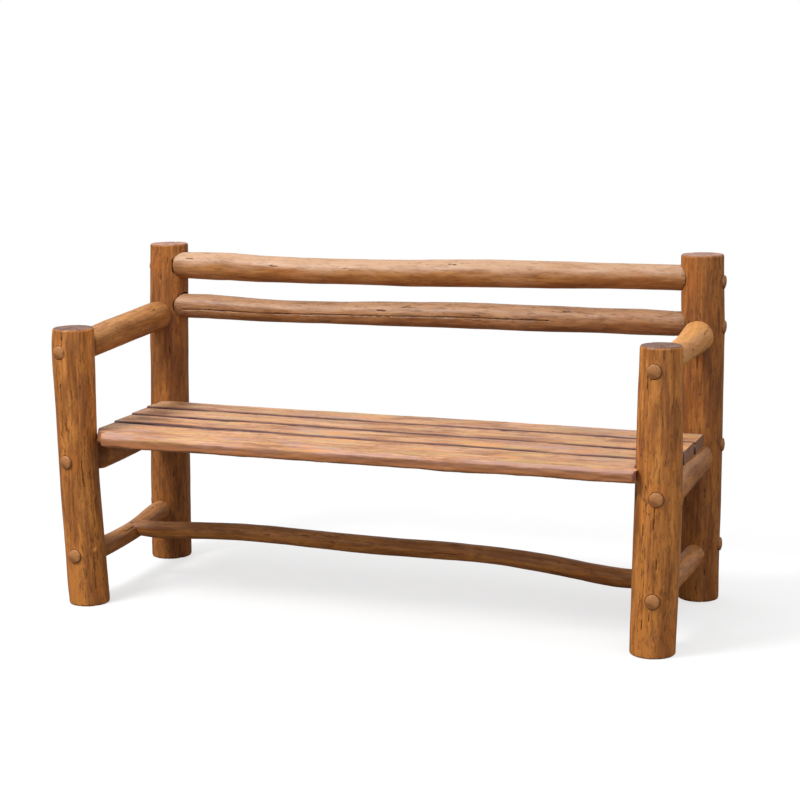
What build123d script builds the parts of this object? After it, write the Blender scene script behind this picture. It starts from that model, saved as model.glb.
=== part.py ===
from build123d import *
import os

# Rustic log bench of peeled poles: four posts, two back rails, two arms, two seat bearers planed flat
# on top, four seat planks, two crooked side stretchers and a long crooked centre stretcher.
# The ends of the back rails stand in shallow round housings, and the front ends of the side members
# butt against the front posts. Both are held by turned dowels that pass right through the post. The
# rear ends of the side members are round tenons in blind mortises, and a blind dowel crosses each
# bearer and stretcher tenon.
# Millimetres, +Z up, the sitter faces -Y. The origin is on the ground under the middle of the bench.

# ---- driving dimensions -----------------------------------------------------------------------
front_post_spacing = 1423
rear_post_spacing = 1449
post_row_distance = 482
rows_set_back = 2.9
front_left_post_height = 692
front_right_post_height = 698
front_post_radius = 52
rear_post_radius = 54
post_top_bevel = 3
post_foot_bevel = 5

top_rail_height = 794.5
back_rail_spacing = 111
low_rail_height = top_rail_height - back_rail_spacing
post_rise_above_rail = 58.5
rear_post_height = top_rail_height + post_rise_above_rail
top_rail_radius = 31.5
low_rail_radius = 28
rails_set_forward = 8
rail_housing_depth = 24

left_arm_front_height = 642
left_arm_rear_height = 668
left_arm_radius = 38
right_arm_front_height = 655
right_arm_rear_height = 662
right_arm_radius = 31

seat_height = 431.5
seat_fall = 10
plank_thickness = 32
plank_gap = 7
plank_edge_bevel = 4
live_edge_bevel = 9
front_corner_round = 24
left_corner_cut_back = 26

bearer_radius = 42
left_bearer_set_in = 23
left_bearer_front_drop = 34.5
left_bearer_rear_drop = 28
right_bearer_front_drop = 39.5
right_bearer_rear_drop = 29.5

side_stretcher_radius = 26.5
side_stretcher_front_height = 119
left_stretcher_rear_height = 137
right_stretcher_rear_height = 124
centre_stretcher_radius = 23
centre_stretcher_left_height = 135.5
centre_stretcher_right_height = 111.5

shoulder_bevel = 11
arm_shoulder_bevel = 14
stretcher_shoulder_bevel = 6
shoulder_gap = 1.2
scribe_gap = 2
fit_gap = 0.2
housing_gap = 2.8

dowel_radius = 16.5
dowel_head_height = 5
dowel_head_rim = 1.5
dome_radius = dowel_radius**2 / (dowel_head_height - dowel_head_rim) / 2 + (dowel_head_height - dowel_head_rim) / 2
dowel_aim = 30
dowel_reach = 60
cross_dowel_length = 90
bearer_dowel_rise = 24
stretcher_dowel_rise = 16

# How far the head of each dowel stands above the end of the log it holds, and in the front posts
# how far it stands to the right of the post's middle.
left_arm_dowel_rise = -7
left_bearer_dowel_rise = -6
left_stretcher_dowel_rise = 9
right_arm_dowel_rise = -10
right_bearer_dowel_rise = 8
right_stretcher_dowel_rise = 14
left_arm_dowel_shift = -15
left_bearer_dowel_shift = -9
left_stretcher_dowel_shift = -3
right_arm_dowel_shift = -5
right_bearer_dowel_shift = 6
right_stretcher_dowel_shift = 6
top_left_dowel_rise = -4.5
low_left_dowel_rise = 2.5
top_right_dowel_rise = -8.5
low_right_dowel_rise = -6.5

tenon_radius = 23
stretcher_tenon_radius = 19
centre_tenon_radius = 13
blind_tenon_length = 29
crossed_tenon_length = 80
centre_tenon_length = 24

# ---- forms of the logs ------------------------------------------------------------------------
# Each row is one place along a log, evenly spaced from its start to its end: how far the log bows
# along its first and second side directions, and how much its radius swells there.
front_left_post_form = (
    (0, 0, -1), (-6, -1.5, -1), (-10, -4, -2), (-12.5, -6.5, -3), (-12, -8.5, -2.5), (-11.5, -11, 0), (-7, -13, -2),
)
front_right_post_form = (
    (0, 0, 0), (3, 1.5, 1.5), (6.5, 3.5, 2), (8.5, 5.5, 1.5), (9.5, 7, 0), (10, 9, -2), (10.5, 11, -4),
)
rear_left_post_form = (
    (-1, 0, 0.5), (0.5, 1.5, 0.5), (3.5, 3, -0.5), (6.5, 5, -1.5), (9.5, 6.5, -2), (13.5, 8, -2), (18, 9, -3.5),
)
rear_right_post_form = (
    (-1, 0, -3), (-0.5, -0.5, -2.5), (0.5, -1, -2), (1, -1.5, -1.5), (1.5, -2, -1), (0.5, -2.5, -1), (-2, -3, -1.5),
)

top_rail_form = (
    (0, 2.5, 2), (0, -3.4, 1.3), (0, -9, -0.6), (0, -4.2, 0), (0, -0.5, 0.7), (0, 0.3, -1.5), (0, -0.5, -1),
)
low_rail_form = (
    (0, 7.5, 2.5), (0, -1, -1), (0, -4, -1.5), (0, -1.6, 1.6), (0, -0.6, 2.2), (0, -3.2, 1), (0, 1.7, 0.8),
)
left_arm_form = ((0, 0, -1.4), (0, 0.5, -0.7), (0, 1, 0), (0, 0.5, 0.7), (0, 0, 1))
right_arm_form = ((0, 0, -1.2), (0, -3.2, -0.8), (0, -5.5, 0.5), (0, -4.2, 4), (0, 0, 8))
bearer_form = ((0, 0, 0), (0, 0, 0.5), (0, 0, 0), (0, 0, -0.5), (0, 0, 0))
left_stretcher_form = (
    (0, 0, -0.5), (1, -2.5, -1), (2, -4.5, -1.5), (2, -5, -1.5), (1, -3, -1), (0, 1.5, -0.5), (0, 0, -0.5),
)
right_stretcher_form = ((0, 0, -0.5), (-2, 1, 0.5), (-3, 0, 1), (-2, -2, 0.5), (0, 0, -0.5))
centre_stretcher_form = (
    (0, 0, -1.5), (-1, 10, 0), (-3, 13.5, 0.5), (0, 11, 1), (3, 13, 0), (2, -2, 0.5), (0, 0, -1.5),
)

# Where the planks' long edges run, from the front of the seat to its back, at the left end and at
# the right end, and how far each plank reaches out at either end.
plank_lines_left = (-294, -112, -1, 101, 199)
plank_lines_right = (-296, -158, -54, 71, 177)
plank_left_ends = (685, 695, 704, 713)
plank_right_ends = (738, 737, 741, 744)

# The waves of each of those edges, evenly spaced from left to right.
edge_waves = (
    (0, -2.5, -0.5, -3, -1, -4, 1, -2, 0),
    (0, 2, -1, -2.5, 0, 2, 1, -1, 0),
    (0, -1, 1.5, 0, -2, -1, 1.5, 1, 0),
    (0, 1.5, 2, -1, -2, 0, 2, 0, 0),
    (0, -1, -2, 0.5, 1, -1, -2.5, -1, 0),
)


# ---- working geometry -------------------------------------------------------------------------
def reading(form, share):
    """Bow and swell of a log at a share of its length, read straight between the rows of its form."""
    place = min(max(share, 0), 1) * (len(form) - 1)
    row = min(int(place), len(form) - 2)
    part = place - row
    return [a + (b - a) * part for a, b in zip(form[row], form[row + 1])]


class Post:
    """An upright log: its foot, height, radius and form."""

    def __init__(self, foot, height, radius, form):
        self.foot, self.height, self.radius, self.form = foot, height, radius, form

    def centre(self, height):
        bow_x, bow_y, _ = reading(self.form, height / self.height)
        return Vector(self.foot[0] + bow_x, self.foot[1] + bow_y, height)

    def radius_at(self, height):
        return self.radius + reading(self.form, height / self.height)[2]

    def side(self, height, direction):
        """The point of the post's face at a height that lies furthest in a direction."""
        return self.centre(height) + direction * self.radius_at(height)

    def reach(self, height, direction, half_height):
        """How far the face reaches in a direction, over the height that a member takes up."""
        heights = (height - half_height, height, height + half_height)
        return max(self.side(h, direction).dot(direction) for h in heights)


to_left = Vector(-1, 0, 0)
to_right = Vector(1, 0, 0)
to_front = Vector(0, -1, 0)
to_back = Vector(0, 1, 0)

half_depth = post_row_distance / 2
half_front = front_post_spacing / 2
half_rear = rear_post_spacing / 2
front_y = rows_set_back - half_depth
rear_y = rows_set_back + half_depth
front_left = Post((-half_front, front_y), front_left_post_height, front_post_radius, front_left_post_form)
front_right = Post((half_front, front_y), front_right_post_height, front_post_radius, front_right_post_form)
rear_left = Post((-half_rear, rear_y), rear_post_height, rear_post_radius, rear_left_post_form)
rear_right = Post((half_rear, rear_y), rear_post_height, rear_post_radius, rear_right_post_form)

# The seat is one plane that falls a little towards the right-hand end.
seat_slope = Vector(front_post_spacing, 0, -seat_fall).normalized()
seat_plane = Plane(origin=(0, 0, seat_height), x_dir=seat_slope, z_dir=seat_slope.cross(Vector(0, 1, 0)))
seat_underside = seat_plane.offset(-plank_thickness)


def underside_height(x):
    """Height of the planks' underside above a place along the bench."""
    return seat_height - plank_thickness - seat_fall * x / front_post_spacing


class Member:
    """A log between two posts, from its start to its end, with a bow along two side directions."""

    def __init__(self, start, end, radius, form, side_direction):
        self.start, self.end, self.radius, self.form = start, end, radius, form
        self.side_direction = side_direction
        self.length = (end - start).length

    def centre(self, share):
        bow_side, bow_up, _ = reading(self.form, share)
        along = self.start + (self.end - self.start) * share
        return along + self.side_direction * bow_side + Vector(0, 0, bow_up)

    def radius_at(self, share):
        return self.radius + reading(self.form, share)[2]

    def build(self, normal):
        """Loft the log through one round section for each row of its form."""
        sections = []
        for i in range(len(self.form)):
            share = i / (len(self.form) - 1)
            with BuildSketch(Plane(origin=self.centre(share), z_dir=normal)) as section:
                Circle(self.radius_at(share))
            sections.append(section.sketch)
        loft(sections)


def rail_between(height, radius, form):
    """A back rail whose ends are let into the inner faces of the rear posts."""
    left_x = rear_left.reach(height, to_right, radius) - rail_housing_depth
    right_x = -rear_right.reach(height, to_left, radius) + rail_housing_depth
    start = Vector(left_x, rear_left.centre(height).Y - rails_set_forward, height)
    end = Vector(right_x, rear_right.centre(height).Y - rails_set_forward, height)
    return Member(start, end, radius, form, to_back)


def side_member(front_post, rear_post, shift, front_height, rear_height, radius, form):
    """An arm, bearer or stretcher from the back of a front post to the front of a rear post."""
    front_y = front_post.reach(front_height, to_back, radius) + shoulder_gap
    rear_y = -rear_post.reach(rear_height, to_front, radius) - shoulder_gap
    start = Vector(front_post.centre(front_height).X + shift, front_y, front_height)
    end = Vector(rear_post.centre(rear_height).X + shift / 2, rear_y, rear_height)
    return Member(start, end, radius, form, to_right)


top_rail = rail_between(top_rail_height, top_rail_radius, top_rail_form)
low_rail = rail_between(low_rail_height, low_rail_radius, low_rail_form)

left_arm_log = side_member(
    front_left, rear_left, 0, left_arm_front_height, left_arm_rear_height, left_arm_radius, left_arm_form
)
right_arm_log = side_member(
    front_right, rear_right, 0, right_arm_front_height, right_arm_rear_height, right_arm_radius,
    right_arm_form,
)
left_bearer_log = side_member(
    front_left, rear_left, left_bearer_set_in, underside_height(-half_front) - left_bearer_front_drop,
    underside_height(-half_rear) - left_bearer_rear_drop, bearer_radius, bearer_form,
)
right_bearer_log = side_member(
    front_right, rear_right, 0, underside_height(half_front) - right_bearer_front_drop,
    underside_height(half_rear) - right_bearer_rear_drop, bearer_radius, bearer_form,
)
left_stretcher_log = side_member(
    front_left, rear_left, 0, side_stretcher_front_height, left_stretcher_rear_height,
    side_stretcher_radius, left_stretcher_form,
)
right_stretcher_log = side_member(
    front_right, rear_right, 0, side_stretcher_front_height, right_stretcher_rear_height,
    side_stretcher_radius, right_stretcher_form,
)

left_middle = left_stretcher_log.centre(0.5)
right_middle = right_stretcher_log.centre(0.5)
centre_stretcher_log = Member(
    Vector(
        left_middle.X + left_stretcher_log.radius_at(0.5) + shoulder_gap,
        left_middle.Y, centre_stretcher_left_height,
    ),
    Vector(
        right_middle.X - right_stretcher_log.radius_at(0.5) - shoulder_gap,
        right_middle.Y, centre_stretcher_right_height,
    ),
    centre_stretcher_radius, centre_stretcher_form, to_back,
)


# ---- joints -----------------------------------------------------------------------------------
class Dowel:
    """A dowel driven in from a post's face: the plane where it enters and its length below it."""

    def __init__(self, head, target, length):
        self.plane = Plane(origin=head, z_dir=head - target)
        self.length = length


def end_dowel(post, direction, member, rise, sideways=0, far_end=False):
    """A dowel from a post's outer face, through the post, into the end of the member behind it."""
    share = dowel_aim / member.length
    target = member.centre(1 - share if far_end else share)
    height = (member.end if far_end else member.start).Z + rise
    reach_out = (direction * post.radius_at(height) + to_right * sideways).normalized()
    head = post.centre(height) + reach_out * post.radius_at(height)
    return Dowel(head, target, (head - target).length + dowel_reach - dowel_aim)


def cross_dowel(post, height, direction):
    """A blind dowel through the middle of a post, across the tenon that the post holds."""
    return Dowel(post.side(height, direction), post.centre(height), cross_dowel_length)


left_arm_dowel = end_dowel(front_left, to_front, left_arm_log, left_arm_dowel_rise, left_arm_dowel_shift)
left_bearer_dowel = end_dowel(
    front_left, to_front, left_bearer_log, left_bearer_dowel_rise, left_bearer_dowel_shift
)
left_stretcher_dowel = end_dowel(
    front_left, to_front, left_stretcher_log, left_stretcher_dowel_rise, left_stretcher_dowel_shift
)
right_arm_dowel = end_dowel(
    front_right, to_front, right_arm_log, right_arm_dowel_rise, right_arm_dowel_shift
)
right_bearer_dowel = end_dowel(
    front_right, to_front, right_bearer_log, right_bearer_dowel_rise, right_bearer_dowel_shift
)
right_stretcher_dowel = end_dowel(
    front_right, to_front, right_stretcher_log, right_stretcher_dowel_rise, right_stretcher_dowel_shift
)

top_left_dowel = end_dowel(rear_left, to_left, top_rail, top_left_dowel_rise)
low_left_dowel = end_dowel(rear_left, to_left, low_rail, low_left_dowel_rise)
top_right_dowel = end_dowel(rear_right, to_right, top_rail, top_right_dowel_rise, far_end=True)
low_right_dowel = end_dowel(rear_right, to_right, low_rail, low_right_dowel_rise, far_end=True)

left_bearer_cross = cross_dowel(rear_left, left_bearer_log.end.Z + bearer_dowel_rise, to_left)
left_stretcher_cross = cross_dowel(rear_left, left_stretcher_log.end.Z + stretcher_dowel_rise, to_left)
right_bearer_cross = cross_dowel(rear_right, right_bearer_log.end.Z + bearer_dowel_rise, to_right)
right_stretcher_cross = cross_dowel(rear_right, right_stretcher_log.end.Z + stretcher_dowel_rise, to_right)


def bore_for(*dowels):
    """Bore the hole of each dowel along its own axis, through whatever stands in its way."""
    for dowel in dowels:
        with Locations(dowel.plane.offset(2 * dowel_head_height)):
            Hole(dowel_radius + fit_gap, depth=2 * dowel_head_height + dowel.length + fit_gap)


def mortise(member, radius, length):
    """Bore the blind mortise that takes the tenon at a side member's rear end."""
    with Locations(Plane(origin=member.end, z_dir=to_front)):
        Hole(radius + fit_gap, depth=length + fit_gap)


def housings(inward, share):
    """Bore the two round housings that take the back rails' ends, from a rear post's inner face."""
    for rail in (top_rail, low_rail):
        with Locations(Plane(origin=rail.centre(share) + inward * rear_post_radius, z_dir=inward)):
            Hole(rail.radius_at(share) + housing_gap, depth=rear_post_radius + fit_gap)


def build_post(post):
    """Loft a post from foot to top through one round section for each row of its form."""
    sections = []
    for i in range(len(post.form)):
        height = post.height * i / (len(post.form) - 1)
        with BuildSketch(Plane(origin=post.centre(height))) as section:
            Circle(post.radius_at(height))
        sections.append(section.sketch)
    loft(sections)


def bevel_ends(builder, axis, start_bevel, end_bevel):
    """Bevel the round edges of a log's two sawn ends."""
    chamfer(builder.faces().sort_by(axis)[0].edges(), start_bevel)
    chamfer(builder.faces().sort_by(axis)[-1].edges(), end_bevel)


def add_tenon(end, direction, radius, length):
    """Add a turned tenon that stands on the end face of a log."""
    with BuildSketch(Plane(origin=end, z_dir=direction)) as section:
        Circle(radius)
    extrude(section.sketch, amount=length)


def add_dowel(dowel):
    """Revolve one dowel with its domed head about its own axis."""
    half_plane = Plane(origin=dowel.plane.origin, x_dir=dowel.plane.x_dir, z_dir=-dowel.plane.y_dir)
    with BuildSketch(half_plane) as half_section:
        with BuildLine():
            Polyline(
                (0, dowel_head_height), (0, -dowel.length),
                (dowel_radius, -dowel.length), (dowel_radius, dowel_head_rim),
            )
            RadiusArc((dowel_radius, dowel_head_rim), (0, dowel_head_height), -dome_radius)
        make_face()
    revolve(half_section.sketch, axis=Axis(dowel.plane.origin, dowel.plane.z_dir))


# ---- posts ------------------------------------------------------------------------------------
with BuildPart() as front_left_post:
    build_post(front_left)
    bevel_ends(front_left_post, Axis.Z, post_foot_bevel, post_top_bevel)
    bore_for(left_arm_dowel, left_bearer_dowel, left_stretcher_dowel)

with BuildPart() as front_right_post:
    build_post(front_right)
    bevel_ends(front_right_post, Axis.Z, post_foot_bevel, post_top_bevel)
    bore_for(right_arm_dowel, right_bearer_dowel, right_stretcher_dowel)

with BuildPart() as rear_left_post:
    build_post(rear_left)
    bevel_ends(rear_left_post, Axis.Z, post_foot_bevel, post_top_bevel)
    mortise(left_arm_log, tenon_radius, blind_tenon_length)
    mortise(left_bearer_log, tenon_radius, crossed_tenon_length)
    mortise(left_stretcher_log, stretcher_tenon_radius, crossed_tenon_length)
    housings(to_right, 0)
    bore_for(top_left_dowel, low_left_dowel, left_bearer_cross, left_stretcher_cross)

with BuildPart() as rear_right_post:
    build_post(rear_right)
    bevel_ends(rear_right_post, Axis.Z, post_foot_bevel, post_top_bevel)
    mortise(right_arm_log, tenon_radius, blind_tenon_length)
    mortise(right_bearer_log, tenon_radius, crossed_tenon_length)
    mortise(right_stretcher_log, stretcher_tenon_radius, crossed_tenon_length)
    housings(to_left, 1)
    bore_for(top_right_dowel, low_right_dowel, right_bearer_cross, right_stretcher_cross)

# ---- back rails -------------------------------------------------------------------------------
with BuildPart() as top_back_rail:
    top_rail.build(to_right)
    bevel_ends(top_back_rail, Axis.X, shoulder_bevel, shoulder_bevel)
    bore_for(top_left_dowel, top_right_dowel)

with BuildPart() as lower_back_rail:
    low_rail.build(to_right)
    bevel_ends(lower_back_rail, Axis.X, shoulder_bevel, shoulder_bevel)
    bore_for(low_left_dowel, low_right_dowel)

# ---- arms -------------------------------------------------------------------------------------
with BuildPart() as left_arm:
    left_arm_log.build(to_back)
    bevel_ends(left_arm, Axis.Y, shoulder_bevel, arm_shoulder_bevel)
    add_tenon(left_arm_log.end, to_back, tenon_radius, blind_tenon_length)
    bore_for(left_arm_dowel)

with BuildPart() as right_arm:
    right_arm_log.build(to_back)
    bevel_ends(right_arm, Axis.Y, shoulder_bevel, shoulder_bevel)
    add_tenon(right_arm_log.end, to_back, tenon_radius, blind_tenon_length)
    bore_for(right_arm_dowel)


# ---- seat planks ------------------------------------------------------------------------------
def edge_points(line, step, x_left, x_right):
    """Points along one long edge of a plank, moved off the middle of its gap by a step."""
    waves = edge_waves[line]
    points = []
    for i in range(len(waves)):
        share = i / (len(waves) - 1)
        y = plank_lines_left[line] + (plank_lines_right[line] - plank_lines_left[line]) * share
        points.append((x_left + (x_right - x_left) * share, y + waves[i] + step))
    return points


def plank_outline(number):
    """Outline of one plank between two of the wavy lines, with straight sawn ends."""
    x_left, x_right = -plank_left_ends[number], plank_right_ends[number]
    front_step = 0 if number == 0 else plank_gap / 2
    rear_step = 0 if number == 3 else -plank_gap / 2
    front_points = edge_points(number, front_step, x_left, x_right)
    rear_points = edge_points(number + 1, rear_step, x_left, x_right)
    with BuildLine() as outline:
        Spline(*front_points)
        Line(front_points[-1], rear_points[-1])
        Spline(*reversed(rear_points))
        Line(rear_points[0], front_points[0])
    return outline.line


def post_clearance(post):
    """Centre and radius of the scribed hollow that a plank needs beside a post."""
    low = post.centre(seat_height - plank_thickness)
    high = post.centre(seat_height + seat_fall)
    widest = max(post.radius_at(seat_height - plank_thickness), post.radius_at(seat_height + seat_fall))
    lean = (Vector(high.X, high.Y) - Vector(low.X, low.Y)).length
    return ((low.X + high.X) / 2, (low.Y + high.Y) / 2), widest + lean / 2 + scribe_gap


left_post_spot, left_post_clearance = post_clearance(front_left)
right_post_spot, right_post_clearance = post_clearance(front_right)
rear_left_spot, rear_left_clearance = post_clearance(rear_left)
rear_right_spot, rear_right_clearance = post_clearance(rear_right)


def long_edges(builder, face_height):
    """The long wavy edges of a plank's upper face (0) or lower face (-plank_thickness)."""
    level = seat_plane.offset(face_height)
    return builder.edges().filter_by(
        lambda edge: edge.length > front_post_spacing / 2
        and abs(level.to_local_coords(edge.center()).Z) < fit_gap
    )


def cut_behind(spot, clearance, cut_back=0):
    """Cut a plank's outline round a front post and square across in front of the post's middle."""
    with Locations(spot):
        Circle(clearance, mode=Mode.SUBTRACT)
    with Locations((spot[0] + cut_back, spot[1])):
        Rectangle(2 * clearance, post_row_distance, align=(Align.CENTER, Align.MAX), mode=Mode.SUBTRACT)


with BuildPart() as front_seat_plank:
    with BuildSketch(seat_plane) as front_plank_section:
        add(make_face(plank_outline(0)))
        cut_behind(left_post_spot, left_post_clearance, left_corner_cut_back)
        cut_behind(right_post_spot, right_post_clearance)
        fillet(front_plank_section.vertices().sort_by(Axis.Y)[:2].sort_by(Axis.X)[0], front_corner_round)
    extrude(amount=-plank_thickness)
    chamfer(long_edges(front_seat_plank, 0).sort_by(Axis.Y)[0], live_edge_bevel)
    chamfer(long_edges(front_seat_plank, -plank_thickness).sort_by(Axis.Y)[0], live_edge_bevel)
    chamfer(long_edges(front_seat_plank, 0).sort_by(Axis.Y)[-1], plank_edge_bevel)

with BuildPart() as second_seat_plank:
    with BuildSketch(seat_plane):
        add(make_face(plank_outline(1)))
        with Locations(left_post_spot):
            Circle(left_post_clearance, mode=Mode.SUBTRACT)
        with Locations(right_post_spot):
            Circle(right_post_clearance, mode=Mode.SUBTRACT)
    extrude(amount=-plank_thickness)
    chamfer(long_edges(second_seat_plank, 0), plank_edge_bevel)

with BuildPart() as third_seat_plank:
    with BuildSketch(seat_plane):
        add(make_face(plank_outline(2)))
    extrude(amount=-plank_thickness)
    chamfer(long_edges(third_seat_plank, 0), plank_edge_bevel)

with BuildPart() as rear_seat_plank:
    with BuildSketch(seat_plane):
        add(make_face(plank_outline(3)))
        with Locations(rear_left_spot):
            Circle(rear_left_clearance, mode=Mode.SUBTRACT)
        with Locations(rear_right_spot):
            Circle(rear_right_clearance, mode=Mode.SUBTRACT)
    extrude(amount=-plank_thickness)
    chamfer(long_edges(rear_seat_plank, 0).sort_by(Axis.Y)[0], plank_edge_bevel)

# ---- seat bearers -----------------------------------------------------------------------------
with BuildPart() as left_seat_bearer:
    left_bearer_log.build(to_back)
    bevel_ends(left_seat_bearer, Axis.Y, shoulder_bevel, shoulder_bevel)
    split(bisect_by=seat_underside, keep=Keep.BOTTOM)
    add_tenon(left_bearer_log.end, to_back, tenon_radius, crossed_tenon_length)
    bore_for(left_bearer_dowel, left_bearer_cross)

with BuildPart() as right_seat_bearer:
    right_bearer_log.build(to_back)
    bevel_ends(right_seat_bearer, Axis.Y, shoulder_bevel, shoulder_bevel)
    split(bisect_by=seat_underside, keep=Keep.BOTTOM)
    add_tenon(right_bearer_log.end, to_back, tenon_radius, crossed_tenon_length)
    bore_for(right_bearer_dowel, right_bearer_cross)

# ---- low stretchers ---------------------------------------------------------------------------
with BuildPart() as left_side_stretcher:
    left_stretcher_log.build(to_back)
    bevel_ends(left_side_stretcher, Axis.Y, stretcher_shoulder_bevel, stretcher_shoulder_bevel)
    add_tenon(left_stretcher_log.end, to_back, stretcher_tenon_radius, crossed_tenon_length)
    bore_for(left_stretcher_dowel, left_stretcher_cross)
    with Locations(Plane(origin=centre_stretcher_log.start, z_dir=to_right)):
        Hole(centre_tenon_radius + fit_gap, depth=centre_tenon_length + fit_gap)

with BuildPart() as right_side_stretcher:
    right_stretcher_log.build(to_back)
    bevel_ends(right_side_stretcher, Axis.Y, stretcher_shoulder_bevel, stretcher_shoulder_bevel)
    add_tenon(right_stretcher_log.end, to_back, stretcher_tenon_radius, crossed_tenon_length)
    bore_for(right_stretcher_dowel, right_stretcher_cross)
    with Locations(Plane(origin=centre_stretcher_log.end, z_dir=to_left)):
        Hole(centre_tenon_radius + fit_gap, depth=centre_tenon_length + fit_gap)

with BuildPart() as centre_stretcher:
    centre_stretcher_log.build(to_right)
    bevel_ends(centre_stretcher, Axis.X, stretcher_shoulder_bevel, stretcher_shoulder_bevel)
    add_tenon(centre_stretcher_log.start, to_left, centre_tenon_radius, centre_tenon_length)
    add_tenon(centre_stretcher_log.end, to_right, centre_tenon_radius, centre_tenon_length)

# ---- dowels -----------------------------------------------------------------------------------
with BuildPart() as front_face_dowels:
    add_dowel(left_arm_dowel)
    add_dowel(left_bearer_dowel)
    add_dowel(left_stretcher_dowel)
    add_dowel(right_arm_dowel)
    add_dowel(right_bearer_dowel)
    add_dowel(right_stretcher_dowel)

with BuildPart() as back_rail_dowels:
    add_dowel(top_left_dowel)
    add_dowel(low_left_dowel)
    add_dowel(top_right_dowel)
    add_dowel(low_right_dowel)

with BuildPart() as tenon_cross_dowels:
    add_dowel(left_bearer_cross)
    add_dowel(left_stretcher_cross)
    add_dowel(right_bearer_cross)
    add_dowel(right_stretcher_cross)

# ---- export -----------------------------------------------------------------------------------
front_left_post.part.label = "front_left_post"
front_right_post.part.label = "front_right_post"
rear_left_post.part.label = "rear_left_post"
rear_right_post.part.label = "rear_right_post"
top_back_rail.part.label = "top_back_rail"
lower_back_rail.part.label = "lower_back_rail"
left_arm.part.label = "left_arm"
right_arm.part.label = "right_arm"
left_seat_bearer.part.label = "left_seat_bearer"
right_seat_bearer.part.label = "right_seat_bearer"
front_seat_plank.part.label = "front_seat_plank"
second_seat_plank.part.label = "second_seat_plank"
third_seat_plank.part.label = "third_seat_plank"
rear_seat_plank.part.label = "rear_seat_plank"
left_side_stretcher.part.label = "left_side_stretcher"
right_side_stretcher.part.label = "right_side_stretcher"
centre_stretcher.part.label = "centre_stretcher"
front_face_dowels.part.label = "front_face_dowels"
back_rail_dowels.part.label = "back_rail_dowels"
tenon_cross_dowels.part.label = "tenon_cross_dowels"

os.makedirs("parts", exist_ok=True)
for piece in (
    front_left_post, front_right_post, rear_left_post, rear_right_post, top_back_rail, lower_back_rail,
    left_arm, right_arm, left_seat_bearer, right_seat_bearer, front_seat_plank, second_seat_plank,
    third_seat_plank, rear_seat_plank, left_side_stretcher, right_side_stretcher, centre_stretcher,
    front_face_dowels, back_rail_dowels, tenon_cross_dowels,
):
    export_step(piece.part, f"parts/{piece.part.label}.step")
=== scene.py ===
"""Rustic log bench: peeled and oiled poles, sawn planks with live edges, domed dowels."""
import functools
import itertools
import math
import random

import bmesh
import bpy
import numpy as np
from mathutils import Matrix, Vector
from mathutils.bvhtree import BVHTree


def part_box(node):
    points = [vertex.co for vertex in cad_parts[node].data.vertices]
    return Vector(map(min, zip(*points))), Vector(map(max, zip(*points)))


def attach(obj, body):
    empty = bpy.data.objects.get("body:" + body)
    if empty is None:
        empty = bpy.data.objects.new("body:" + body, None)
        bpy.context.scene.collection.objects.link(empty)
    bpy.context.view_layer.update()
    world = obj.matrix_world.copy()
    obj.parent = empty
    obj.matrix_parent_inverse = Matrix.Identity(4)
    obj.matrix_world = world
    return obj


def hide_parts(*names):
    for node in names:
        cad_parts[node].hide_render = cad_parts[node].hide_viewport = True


bl_info = {
    "name": "Rustic Log Bench",
    "version": (1, 0, 0),
    "blender": (4, 5, 0),
    "location": "3D View > Sidebar > Log Bench",
    "description": "Builds the logs, planks and dowels of a rustic garden bench",
    "category": "Add Mesh",
}

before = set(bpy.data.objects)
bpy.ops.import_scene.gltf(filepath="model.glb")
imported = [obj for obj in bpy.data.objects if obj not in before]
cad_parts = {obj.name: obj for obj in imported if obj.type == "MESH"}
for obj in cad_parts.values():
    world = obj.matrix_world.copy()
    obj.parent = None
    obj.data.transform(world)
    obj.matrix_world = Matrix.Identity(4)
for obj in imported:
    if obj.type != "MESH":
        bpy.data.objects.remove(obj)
MM = 0.001

# Radius and length of the tenons, and the room left round tenons and dowels.
ARM_TENON = (23 * MM, 29 * MM)
BEARER_TENON = (23 * MM, 80 * MM)
SIDE_TENON = (19 * MM, 80 * MM)
CENTRE_TENON = (13 * MM, 24 * MM)
TENON_GAP = 0.5 * MM
DOWEL_RADIUS = 16.5 * MM
DOWEL_GAP = 0.3 * MM

# The dowels' heads in the left rear post lie this much lower.
SUNK_HEAD = 4 * MM

# How much fuller than its solid a back rail is at its ends.
END_SWELL = 1.7 * MM

# The rays that measure a round solid: how many there are and how far out they start.
RAYS = 40
RAY_LENGTH = 0.16

# A planing height above the whole bench, for a log that isn't planed.
UNPLANED = 10.0

# The node tree wants one knot and one crack at least. The spare ones lie far below the floor.
SPARE_PLACE = Vector((0, 0, -9))

# The two directions square to a log that lies along x, y or z: angles start from the first one
# and grow towards the second.
SIDES = (
    (Vector((0, -1, 0)), Vector((0, 0, 1))),
    (Vector((1, 0, 0)), Vector((0, 0, 1))),
    (Vector((0, -1, 0)), Vector((1, 0, 0))),
)


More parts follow.
